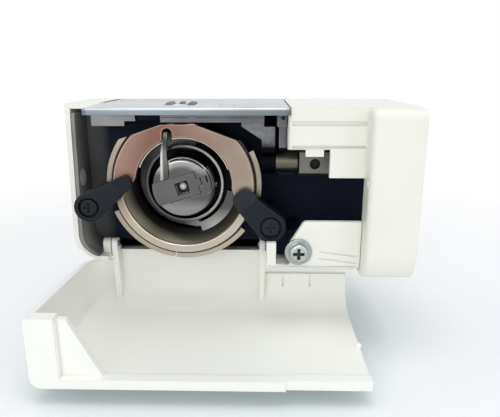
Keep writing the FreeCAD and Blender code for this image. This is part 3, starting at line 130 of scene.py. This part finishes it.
# Colour sockets of a mix node, which share their names with its other sockets.
MIX_FIRST, MIX_SECOND, MIX_RESULT = 6, 7, 2

# Finest angle between facets that stays a sharp edge, and the distance at which corners are joined.
CREASE = math.radians(28)
WELD = 1e-6


def rgb(red, green, blue):
    """Display colour, 0 to 255, as the linear colour that shaders take."""
    def linear(value):
        share = value / 255
        return share / 12.92 if share <= 0.04045 else ((share + 0.055) / 1.055) ** 2.4
    return (linear(red), linear(green), linear(blue), 1.0)


# Pale tone of metal edges: worn bright, and partly a painted highlight along them.
PALE = rgb(226, 226, 222)


class Finish:
    """A node material on the part's own coordinates, so that it moves with its piece."""

    def __init__(self, name, metallic=0.0, anisotropic=0.0, specular=0.5):
        self.material = bpy.data.materials.new(name)
        self.material.use_nodes = True
        self.tree = self.material.node_tree
        self.shader = self.tree.nodes["Principled BSDF"]
        self.shader.inputs["Metallic"].default_value = metallic
        self.shader.inputs["Anisotropic"].default_value = anisotropic
        self.shader.inputs["Specular IOR Level"].default_value = specular
        self.place = self.node("ShaderNodeTexCoord").outputs["Object"]

    def plug(self, value, socket):
        if isinstance(value, bpy.types.NodeSocket):
            self.tree.links.new(value, socket)
        else:
            socket.default_value = value

    def node(self, kind, **sockets):
        """A node with its sockets filled, a space in a socket's name written as an underscore."""
        made = self.tree.nodes.new(kind)
        for socket, value in sockets.items():
            self.plug(value, made.inputs[socket.replace("_", " ")])
        return made

    def operate(self, kind, operation, *values):
        made = self.tree.nodes.new(kind)
        made.operation = operation
        for socket, value in zip(made.inputs, values):
            self.plug(value, socket)
        return made

    def math(self, operation, first, second):
        return self.operate("ShaderNodeMath", operation, first, second).outputs["Value"]

    def product(self, first, *others):
        for other in others:
            first = self.math("MULTIPLY", first, other)
        return first

    def spread(self, value, low, high, start=NOISE_LOW, end=NOISE_HIGH):
        made = self.node("ShaderNodeMapRange", Value=value, From_Min=start, From_Max=end, To_Min=low, To_Max=high)
        return made.outputs["Result"]

    def mix(self, share, first, second):
        made = self.tree.nodes.new("ShaderNodeMix")
        made.data_type = "RGBA"
        self.plug(share, made.inputs["Factor"])
        self.plug(first, made.inputs[MIX_FIRST])
        self.plug(second, made.inputs[MIX_SECOND])
        return made.outputs[MIX_RESULT]

    def noise(self, scale, detail=3.0):
        return self.node("ShaderNodeTexNoise", Vector=self.place, Scale=scale, Detail=detail).outputs["Fac"]

    def lines(self, scale):
        """Grinding lines: noise stretched by a scale for each axis."""
        stretched = self.node("ShaderNodeMapping", Vector=self.place, Scale=scale).outputs["Vector"]
        made = self.node("ShaderNodeTexNoise", Vector=stretched, Scale=1.0, Detail=LINE_DETAIL)
        return made.outputs["Fac"]

    def rings(self, marks):
        """Turning marks: fine rings about the hook axis."""
        made = self.tree.nodes.new("ShaderNodeTexNoise")
        made.noise_dimensions = "1D"
        self.plug(self.radius_about(HOOK), made.inputs["W"])
        self.plug(marks, made.inputs["Scale"])
        self.plug(MARK_DETAIL, made.inputs["Detail"])
        return made.outputs["Fac"]

    def along(self, axis, origin, start, end):
        """0 to 1 between two distances from a point along X, Y or Z, in millimetres."""
        split = self.node("ShaderNodeSeparateXYZ", Vector=self.place)
        zero = origin["XYZ".index(axis)]
        return self.spread(split.outputs[axis], 0.0, 1.0, zero + start * MM, zero + end * MM)

    def radius_about(self, centre):
        """Distance from an axis along Y through a point, in millimetres."""
        moved = self.operate("ShaderNodeVectorMath", "SUBTRACT", self.place, centre).outputs["Vector"]
        flat = self.operate("ShaderNodeVectorMath", "MULTIPLY", moved, (1 / MM, 0.0, 1 / MM)).outputs["Vector"]
        return self.operate("ShaderNodeVectorMath", "LENGTH", flat).outputs["Value"]

    def within(self, radius, soft):
        """1 near the hook axis, 0 beyond a radius in millimetres."""
        return self.spread(self.radius_about(HOOK), 1.0, 0.0, radius - soft, radius + soft)

    def rounded(self, radius):
        made = self.node("ShaderNodeBevel", Radius=radius)
        made.samples = BEVEL_SAMPLES
        return made.outputs["Normal"]

    def edge_share(self, radius, flat=FLAT_LEAN):
        """Near 1 along edges, 0 on flats."""
        face = self.node("ShaderNodeNewGeometry").outputs["True Normal"]
        lean = self.operate("ShaderNodeVectorMath", "DOT_PRODUCT", self.rounded(radius), face)
        return self.spread(lean.outputs["Value"], 1.0, 0.0, EDGE_LEAN, flat)

    def crevice_share(self, reach, shut=0.25, open_at=0.85):
        """Near 1 in corners, 0 on open faces."""
        made = self.node("ShaderNodeAmbientOcclusion", Distance=reach)
        made.samples = OCCLUSION_SAMPLES
        return self.spread(made.outputs["AO"], 1.0, 0.0, shut, open_at)

    def surface(self, height, depth, strength, edge):
        """Bump over softly broken edges, depth and edge in metres."""
        made = self.node("ShaderNodeBump", Height=height, Strength=strength, Distance=depth)
        self.plug(self.rounded(edge), made.inputs["Normal"])
        self.plug(made.outputs["Normal"], self.shader.inputs["Normal"])

    def colour(self, value):
        self.plug(value, self.shader.inputs["Base Color"])

    def roughness(self, texture, low, high):
        self.plug(self.spread(texture, low, high), self.shader.inputs["Roughness"])


def moulded_plastic(name, light, shade, corner_shade, painted_floor_shade=None):
    """Warm white moulded plastic: spark-eroded grain, faint yellowing, painted shade in the corners."""
    finish = Finish(name)
    clouds = finish.noise(scale=28.0)
    body = finish.mix(finish.spread(clouds, 0.0, 1.0), light, shade)
    # Painted shade on the inner floor, where one is given.
    if painted_floor_shade:
        body = painted_floor_shade(finish, body)
    # Painted shade: corners and creases darkened where the part shuts them in.
    corner_shade_share = 0.35
    painted_shading = finish.product(finish.crevice_share(reach=2.5 * MM), corner_shade_share)
    finish.colour(finish.mix(painted_shading, body, corner_shade))
    finish.roughness(finish.noise(scale=900.0), 0.36, 0.50)
    grain = finish.noise(scale=2600.0, detail=5.0)
    finish.surface(grain, depth=0.05 * MM, strength=0.20, edge=0.35 * MM)
    return finish.material


def shaded_arm_floor(finish, body):
    """Painted shade on the floor of the arm below the race."""
    oil_and_shade = rgb(26, 27, 30)
    right = finish.along("X", HOOK, -36, -34)
    front = finish.along("Y", HOOK, 12, 15)
    back = finish.along("Y", HOOK, 40, 36)
    above = finish.along("Z", HOOK, -33.8, -33.2)
    return finish.mix(finish.product(right, front, back, above), body, oil_and_shade)


def black_paint(name, body, worn, specular, mottle, rub, gloss, grain, depth, shade=None):
    """Black enamel or moulding: mottled, orange-peel grain, edges rubbed paler."""
    finish = Finish(name, specular=specular)
    patches = finish.noise(scale=60.0, detail=5.0)
    rubbed = finish.product(finish.edge_share(0.45 * MM), finish.spread(patches, *rub))
    tone = finish.mix(finish.spread(finish.noise(scale=35.0), *mottle), body, worn)
    if shade:
        tone = shade(finish, tone)
    finish.colour(finish.mix(rubbed, tone, worn))
    finish.roughness(finish.noise(grain), *gloss)
    finish.surface(finish.noise(grain, detail=4.0), depth, strength=0.35, edge=0.30 * MM)
    return finish.material


def cheek_shade(finish, tone):
    """Painted light: the casting lighter on the cheek at the tip of the arm, where light reaches it, less so
    further in.
    """
    cheek = rgb(150, 149, 144)
    fade = 0.6
    blotches = finish.spread(finish.noise(scale=90.0, detail=5.0), 0.75, 1.0)
    left = finish.along("X", CAST_LOW, 11, 2)
    front = finish.math("POWER", finish.along("Y", HOOK, 32, 8), fade)
    return finish.mix(finish.product(left, front, blotches), tone, cheek)


def brushed_metal(name, body, other, scale, gloss, edge=0.55, edge_tone=PALE):
    """Plated or ground steel with fine lines along one direction."""
    finish = Finish(name, metallic=1.0, anisotropic=0.25)
    lines = finish.lines(scale)
    stains = finish.noise(scale=70.0, detail=4.0)
    tone = finish.mix(finish.spread(stains, 0.0, 1.0), body, other)
    # Edges paler: worn bright, and partly a painted highlight.
    bright = finish.product(finish.edge_share(0.25 * MM), edge)
    finish.colour(finish.mix(bright, tone, edge_tone))
    finish.roughness(lines, *gloss)
    finish.surface(lines, **METAL_BUMP)
    return finish.material


def turned_metal(name, body, other, gloss, edge=0.6, shade=None):
    """Metal turned on a lathe: rings about the hook axis, stains, and bright edges, worn and partly a painted
    highlight.
    """
    finish = Finish(name, metallic=1.0, anisotropic=0.35)
    rings = finish.rings(TURNED_MARKS)
    stains = finish.noise(scale=90.0, detail=5.0)
    tone = finish.mix(finish.spread(stains, 0.0, 1.0), body, other)
    if shade:
        tone = shade(finish, tone)
    # Edges paler: worn bright, and partly a painted highlight.
    bright = finish.product(finish.edge_share(0.22 * MM), edge)
    finish.colour(finish.mix(bright, tone, PALE))
    finish.roughness(rings, *gloss)
    finish.surface(rings, **METAL_BUMP)
    return finish.material


def race_shade(finish, tone):
    """Race: paler below as a painted reflection, a dark, oily line beside the cover, dull olive at the mouth, near
    black down the bore as painted shade.
    """
    pale, oil_and_shade, olive, black = rgb(186, 174, 156), rgb(46, 40, 34), rgb(104, 100, 88), rgb(16, 16, 18)
    inside = finish.within(MOUTH_RADIUS, soft=0.3)
    # Painted reflection: the rim paler below.
    rim = finish.mix(finish.along("Z", HOOK, -8, -21), tone, pale)
    rim_inner = (HOOK.z - RACE_LOW.z) / MM - RIM_WIDTH
    rim = finish.mix(finish.within(rim_inner + OIL_LINE, soft=0.15), rim, oil_and_shade)
    lip = finish.mix(inside, rim, olive)
    # Painted shade: near black down the bore.
    return finish.mix(finish.along("Y", HOOK, 2.0, 6.5), lip, black)


def hook_shade(finish, tone):
    """Hook with painted light and shade: basket edge brighter at the right, body darker at the left and lighter
    below, near black behind; post bright at its tip.
    """
    left_rim, left_body, black = rgb(82, 82, 84), rgb(46, 46, 48), rgb(20, 20, 22)
    upper_tail, lower_tail = rgb(86, 86, 85), rgb(168, 167, 163)
    post, post_tip = rgb(122, 122, 121), rgb(196, 196, 194)
    # Painted light and shade: lighter towards the right, darker towards the left.
    right = finish.along("X", HOOK, -2, 12)
    rim = finish.mix(right, left_rim, tone)
    # Painted light: the tail lighter below.
    tail = finish.mix(finish.along("Z", HOOK, -10, -17), upper_tail, lower_tail)
    body = finish.mix(right, left_body, tail)
    behind = finish.along("Y", HOOK, 2.5, 2.9)
    # Painted shade: near black deeper behind.
    deep = finish.along("Y", HOOK, 4.0, 6.0)
    seen = finish.mix(behind, rim, finish.mix(deep, body, black))
    tip = finish.mix(finish.within(TIP_RADIUS, soft=0.3), post, post_tip)
    return finish.mix(finish.within(POST_RADIUS, soft=0.1), seen, tip)


def case_shade(finish, tone):
    """Bobbin case: painted highlight as an arch above, paler cap below the flap, pocket and barrel painted dark as
    shade.
    """
    arch, cap, pocket, side = rgb(156, 156, 155), rgb(142, 143, 142), rgb(12, 12, 13), rgb(54, 54, 56)
    low = finish.along("Z", HOOK, -4.5, -8.0)
    high = finish.along("Z", HOOK, 4.5, 7.0)
    outer = finish.spread(finish.radius_about(HOOK), 0.0, 1.0, *ARCH_HIGHLIGHT_RADII)
    # Painted highlight: a pale arch above.
    seen = finish.mix(finish.product(high, outer), tone, arch)
    seen = finish.mix(low, seen, cap)
    # Painted shade: the pocket and the barrel behind the front dark.
    seen = finish.mix(finish.within(POCKET_RADIUS, soft=0.1), seen, pocket)
    return finish.mix(finish.along("Y", HOOK, -2.6, -1.6), seen, side)


def race_cover_finish(name):
    """Pressed ring, browned by heat at its top, champagne at its right and below; paler at the bottom as a painted
    reflection, and a painted highlight along its edges.
    """
    brown, left, right = rgb(117, 87, 76), rgb(146, 121, 108), rgb(165, 154, 141)
    below, edge = rgb(194, 185, 170), rgb(244, 234, 216)
    down_share, edge_share = 0.9, 0.9
    finish = Finish(name, metallic=1.0, anisotropic=0.3)
    across = finish.along("X", HOOK, -6, 34)
    down = finish.product(finish.along("Z", HOOK, 4, -18), down_share)
    ripple = finish.spread(finish.noise(scale=120.0, detail=4.0), -0.10, 0.10)
    place = finish.math("ADD", finish.math("ADD", across, down), ripple)
    tone = finish.mix(place, brown, right)
    tone = finish.mix(finish.along("X", HOOK, -12, -24), tone, left)
    # Painted reflection: paler below.
    tone = finish.mix(finish.along("Z", HOOK, -5, -17), tone, below)
    # Painted highlight along the edges.
    bright = finish.product(finish.edge_share(0.75 * MM, flat=0.998), edge_share)
    finish.colour(finish.mix(bright, tone, edge))
    rings = finish.rings(COVER_MARKS)
    finish.roughness(rings, 0.28, 0.42)
    finish.surface(rings, depth=0.02 * MM, strength=0.30, edge=0.22 * MM)
    return finish.material


def plate_finish(name, top, edge):
    """Needle plate: ground top, front edge painted darker as shade, a few darker stains."""
    finish = Finish(name, metallic=1.0, anisotropic=0.25)
    lines = finish.lines(ALONG_X)
    level = finish.along("Z", PLATE_HIGH, -1.0, -0.3)
    stains = finish.spread(finish.noise(scale=70.0, detail=4.0), 0.0, 0.25)
    # Painted shade: the front edge darker than the top.
    finish.colour(finish.mix(stains, finish.mix(level, edge, top), edge))
    finish.roughness(lines, 0.28, 0.44)
    finish.surface(lines, **METAL_BUMP)
    return finish.material


def finger_finish(name, bright, dark):
    """Position finger with painted light and shade: bright on its left edge, dark on its right and at its tip."""
    tip_share = 0.85
    finish = Finish(name, metallic=1.0, anisotropic=0.25)
    lines = finish.lines(ALONG_FINGER)
    side = finish.along("X", FINGER_LOW, 0.6, 1.5)
    tip = finish.along("Z", FINGER_HIGH, -13, -3)
    share = finish.math("MAXIMUM", side, finish.product(tip, tip_share))
    # Painted highlight on the left edge, painted shade on the right and at the tip.
    finish.colour(finish.mix(share, bright, dark))
    finish.roughness(lines, 0.26, 0.40)
    finish.surface(lines, **METAL_BUMP)
    return finish.material


def screw_finish(name, body, other, recess):
    """Bright screw with its cross recess painted dark as shade."""
    finish = Finish(name, metallic=1.0)
    grain = finish.noise(scale=500.0, detail=4.0)
    from_axis = finish.radius_about((SCREW_LOW + SCREW_HIGH) / 2)
    inside = finish.spread(from_axis, 1.0, 0.0, *RECESS_RADII)
    # Painted shade: the cross recess dark.
    sunk = finish.product(inside, finish.along("Y", SCREW_LOW, 0.45, 0.65))
    tone = finish.mix(finish.spread(grain, 0.0, 1.0), body, other)
    finish.colour(finish.mix(sunk, tone, recess))
    finish.roughness(grain, 0.24, 0.38)
    finish.surface(grain, depth=0.02 * MM, strength=0.30, edge=0.18 * MM)
    return finish.material


def crank_finish(name, body, other):
    """Cast crank: sanded grey wedge above, arm and hub below painted near black as shade."""
    oil_and_shade = rgb(16, 17, 20)
    finish = Finish(name, metallic=1.0, anisotropic=0.2)
    grain = finish.noise(scale=420.0, detail=5.0)
    tone = finish.mix(finish.spread(grain, 0.0, 1.0), body, other)
    # Painted shade: near black below the wedge.
    finish.colour(finish.mix(finish.along("Z", HOOK, 17.5, 14.5), tone, oil_and_shade))
    finish.roughness(grain, 0.40, 0.56)
    finish.surface(grain, depth=0.03 * MM, strength=0.30, edge=0.20 * MM)
    return finish.material


def floor_finish(name):
    """Pale paper with a painted shade where the part shuts it in: keeps the shadow near the part, and is lifted to
    white away from it.
    """
    sheet, spots, shade = rgb(248, 250, 251), rgb(251, 252, 253), rgb(140, 174, 182)
    finish = Finish(name)
    paper = finish.mix(finish.spread(finish.noise(scale=8.0), 0.0, 1.0), sheet, spots)
    # Painted shadow: blue-grey where the part shuts the floor in.
    shut_in = finish.crevice_share(FLOOR_SHADE, FLOOR_SHUT, FLOOR_OPEN)
    finish.colour(finish.mix(finish.product(shut_in, FLOOR_SHADE_SHARE), paper, shade))
    finish.roughness(finish.noise(scale=300.0), 0.75, 0.85)
    reach = finish.operate("ShaderNodeVectorMath", "LENGTH", finish.place).outputs["Value"]
    away = finish.spread(reach, FLOOR_NEAR_LIFT, 1.0, FLOOR_NEAR, FLOOR_FAR)
    white = finish.node("ShaderNodeEmission")
    choose = finish.node("ShaderNodeMixShader", Fac=finish.product(away, seen_directly(finish.tree)))
    finish.plug(finish.shader.outputs["BSDF"], choose.inputs[1])
    finish.plug(white.outputs["Emission"], choose.inputs[2])
    finish.plug(choose.outputs["Shader"], finish.tree.nodes["Material Output"].inputs["Surface"])
    return finish.material


def seen_directly(tree):
    """1 where the camera, a mirror or glass looks, 0 where light bounces."""
    path = tree.nodes.new("ShaderNodeLightPath")
    total = path.outputs["Is Camera Ray"]
    for ray in ("Is Glossy Ray", "Is Transmission Ray"):
        joined = tree.nodes.new("ShaderNodeMath")
        joined.operation = "MAXIMUM"
        tree.links.new(total, joined.inputs[0])
        tree.links.new(path.outputs[ray], joined.inputs[1])
        total = joined.outputs["Value"]
    return total


def plastic_finishes():
    """White covers and door."""
    cover = dict(light=rgb(239, 240, 231), shade=rgb(235, 235, 225), corner_shade=rgb(200, 197, 182))
    door = dict(light=rgb(251, 252, 246), shade=rgb(248, 248, 241), corner_shade=rgb(224, 222, 212))
    return {
        "white_shell": moulded_plastic("white_shell", **cover),
        "end_cover": moulded_plastic("white_end", **cover, painted_floor_shade=shaded_arm_floor),
        "door": moulded_plastic("white_door", **door),
    }


def black_finishes():
    """Painted casting, moulded levers and their screws."""
    rubbed = dict(specular=0.2, mottle=(0.0, 0.15), rub=(0.10, 0.75))
    # Painted light on the casting's cheek at the tip of the arm.
    painted_shading = dict(specular=0.04, mottle=(0.0, 0.3), rub=(0.05, 0.45), shade=cheek_shade)
    return {
        "black_casting": black_paint("black_casting", rgb(29, 35, 50), rgb(41, 47, 62), **painted_shading,
                                     gloss=(0.42, 0.60), grain=700.0, depth=0.10 * MM),
        "lever_black": black_paint("lever_black", rgb(14, 19, 27), rgb(60, 71, 86), **rubbed,
                                   gloss=(0.34, 0.50), grain=1100.0, depth=0.06 * MM),
        "black_screw": black_paint("black_screw", rgb(12, 13, 20), rgb(92, 96, 108), **rubbed,
                                   gloss=(0.26, 0.42), grain=900.0, depth=0.04 * MM),
    }


def brushed_finishes():
    """Ground and plated metal: material, main and second colour, lines and roughness."""
    faint_edge = dict(edge=0.15)
    # Painted shade: latch steel's edges dark, as in the shadow of the gaps around it.
    gap_shaded = dict(edge=0.8, edge_tone=rgb(34, 34, 35))
    kinds = {
        "bracket_zinc": ("bracket_zinc", rgb(138, 139, 141), rgb(118, 120, 123), ALONG_Y, (0.38, 0.55)),
        # The right bracket a darker copy of the zinc bracket finish.
        "plate_bracket_right": ("bracket_darker", rgb(106, 107, 110), rgb(90, 91, 94), ALONG_Y, (0.38, 0.55)),
        "bright_screw": ("bright_screw", rgb(182, 189, 186), rgb(160, 168, 165), ALONG_X, (0.20, 0.34)),
        "bush_bronze": ("bush_bronze", rgb(116, 112, 99), rgb(92, 89, 80), ALONG_Y, (0.30, 0.46)),
        "latch_steel": ("latch_steel", rgb(106, 106, 105), rgb(92, 92, 92), ALONG_X, (0.26, 0.40)),
        # Painted shade: the latch slide near black, seen in the case's pocket.
        "latch_slide": ("slide_painted_shade", rgb(20, 20, 21), rgb(12, 12, 13), ALONG_X, (0.30, 0.45)),
        "feed_steel": ("feed_steel", rgb(110, 112, 116), rgb(92, 94, 98), ALONG_X, (0.28, 0.42)),
        "feed_cast": ("feed_cast", rgb(122, 121, 116), rgb(104, 103, 99), ALONG_Y, (0.40, 0.56)),
        # Painted shade: the rock shaft near black, in the arm's cavity.
        "rock_shaft": ("shaft_painted_shade", rgb(38, 39, 42), rgb(24, 25, 28), ALONG_X, (0.22, 0.36)),
    }
    edges = {"bush_bronze": faint_edge, "latch_slide": faint_edge, "rock_shaft": faint_edge, "latch_steel": gap_shaded}
    return {key: brushed_metal(*kind, **edges.get(key, {})) for key, kind in kinds.items()}


def turned_finishes():
    """Metal turned about the hook axis: main and second colour and roughness."""
    kinds = {
        "race_champagne": (rgb(164, 156, 142), rgb(142, 133, 120), (0.28, 0.44)),
        "hook_steel": (rgb(176, 176, 174), rgb(150, 150, 149), (0.18, 0.32)),
        "driver_steel": (rgb(108, 107, 106), rgb(88, 87, 86), (0.30, 0.45)),
        "inner_steel": (rgb(140, 140, 140), rgb(118, 118, 120), (0.25, 0.40)),
        "case_steel": (rgb(104, 104, 103), rgb(88, 88, 88), (0.16, 0.28)),
        "bobbin_steel": (rgb(186, 186, 186), rgb(162, 162, 164), (0.18, 0.30)),
    }
    shades = {
        "race_champagne": dict(shade=race_shade),
        "hook_steel": dict(shade=hook_shade, edge=0.4),
        "case_steel": dict(shade=case_shade),
    }
    return {key: turned_metal(key, *kind, **shades.get(key, {})) for key, kind in kinds.items()}


def other_finishes():
    """Pieces whose finish has a pattern of its own."""
    return {
        "cover_bronze": race_cover_finish("cover_bronze"),
        "plate_steel": plate_finish("plate_steel", rgb(206, 210, 213), rgb(118, 125, 131)),
        "feed_crank": crank_finish("crank_cast", rgb(124, 126, 130), rgb(106, 108, 112)),
        "position_finger": finger_finish("finger_bright", rgb(168, 167, 164), rgb(78, 78, 77)),
        "cover_screw": screw_finish("screw_bright", rgb(198, 204, 201), rgb(172, 179, 177), rgb(62, 68, 67)),
    }


def finishes():
    """One material for each slot of the record, and for the pieces whose finish differs from their slot's."""
    return {**plastic_finishes(), **black_finishes(), **brushed_finishes(), **turned_finishes(), **other_finishes()}


def smooth_shading():
    """Modifier that joins the facets of a curved face and keeps real edges sharp."""
    tree = bpy.data.node_groups.new("smooth_faces", "GeometryNodeTree")
    tree.is_modifier = True
    for direction in ("INPUT", "OUTPUT"):
        tree.interface.new_socket("Geometry", in_out=direction, socket_type="NodeSocketGeometry")
    weld = tree.nodes.new("GeometryNodeMergeByDistance")
    weld.inputs["Distance"].default_value = WELD
    faces = tree.nodes.new("GeometryNodeSetShadeSmooth")
    edges = tree.nodes.new("GeometryNodeSetShadeSmooth")
    edges.domain = "EDGE"
    edges.inputs["Shade Smooth"].default_value = False
    angle = tree.nodes.new("GeometryNodeInputMeshEdgeAngle")
    sharp = tree.nodes.new("FunctionNodeCompare")
    sharp.data_type = "FLOAT"
    sharp.operation = "GREATER_THAN"
    sharp.inputs["B"].default_value = CREASE
    tree.links.new(angle.outputs["Unsigned Angle"], sharp.inputs["A"])
    tree.links.new(sharp.outputs["Result"], edges.inputs["Selection"])
    chain = [tree.nodes.new("NodeGroupInput"), weld, faces, edges, tree.nodes.new("NodeGroupOutput")]
    for first, second in zip(chain, chain[1:]):
        tree.links.new(first.outputs["Geometry"], second.inputs["Geometry"])
    return tree


def dress():
    """Each piece takes its own finish where it has one, or else that of its slot in the record."""
    made = finishes()
    smooth = smooth_shading()
    for subpart in frame["record"]["subparts"]:
        piece = NODES[subpart["node"]]
        piece.data.materials.clear()
        piece.data.materials.append(made.get(subpart["node"]) or made[subpart["material_slot"]])
        piece.modifiers.new("smooth_faces", "NODES").node_group = smooth


def floor():
    low = CAD_BOX[0]
    bpy.ops.mesh.primitive_plane_add(size=FLOOR_SIZE, location=(HOOK.x, HOOK.y, low.z - FLOOR_DROP))
    sheet = bpy.context.object
    sheet.name = "floor"
    sheet.data.materials.append(floor_finish("floor_paper"))


def lamp(name, place, aim, size, watts, tint):
    data = bpy.data.lights.new(name, "AREA")
    data.shape = "DISK"
    data.size = size
    data.energy = watts
    data.color = tint
    made = bpy.data.objects.new(name, data)
    made.location = HOOK + Vector(place)
    made.rotation_euler = (Vector(aim) - Vector(place)).to_track_quat("-Z", "Y").to_euler()
    bpy.context.scene.collection.objects.link(made)


def room():
    """Pale room that lights the part softly, and plain white where it is seen or mirrored."""
    world = bpy.data.worlds.new("room")
    world.use_nodes = True
    bpy.context.scene.world = world
    tree = world.node_tree
    for node in list(tree.nodes):
        tree.nodes.remove(node)
    place = tree.nodes.new("ShaderNodeTexCoord")
    split = tree.nodes.new("ShaderNodeSeparateXYZ")
    tree.links.new(place.outputs["Generated"], split.inputs["Vector"])
    walls = tree.nodes.new("ShaderNodeValToRGB")
    for element, at, tone in zip(walls.color_ramp.elements, (0.0, ROOM_OVERHEAD_AT), (ROOM_HORIZON, ROOM_OVERHEAD)):
        element.position = at
        element.color = tone
    tree.links.new(split.outputs["Z"], walls.inputs["Fac"])
    pale = tree.nodes.new("ShaderNodeBackground")
    tree.links.new(walls.outputs["Color"], pale.inputs["Color"])
    pale.inputs["Strength"].default_value = ROOM_STRENGTH
    white = tree.nodes.new("ShaderNodeBackground")
    white.inputs["Color"].default_value = WHITE
    white.inputs["Strength"].default_value = 1.0
    choose = tree.nodes.new("ShaderNodeMixShader")
    tree.links.new(seen_directly(tree), choose.inputs["Fac"])
    tree.links.new(pale.outputs["Background"], choose.inputs[1])
    tree.links.new(white.outputs["Background"], choose.inputs[2])
    out = tree.nodes.new("ShaderNodeOutputWorld")
    tree.links.new(choose.outputs["Shader"], out.inputs["Surface"])


def camera():
    data = bpy.data.cameras.new("photo_camera")
    data.sensor_fit = "HORIZONTAL"
    data.sensor_width = SENSOR
    data.lens = LENS
    data.clip_start = CLIP_START
    made = bpy.data.objects.new("photo_camera", data)
    made.location = HOOK + CAMERA_FROM_HOOK
    made.rotation_euler = (math.pi / 2 - CAMERA_PITCH, 0.0, CAMERA_YAW)
    bpy.context.scene.collection.objects.link(made)
    bpy.context.scene.camera = made


dress()
floor()
for lamp_name, settings in LAMPS.items():
    lamp(lamp_name, *settings)
room()
camera()
bpy.context.scene.view_settings.view_transform = "Standard"
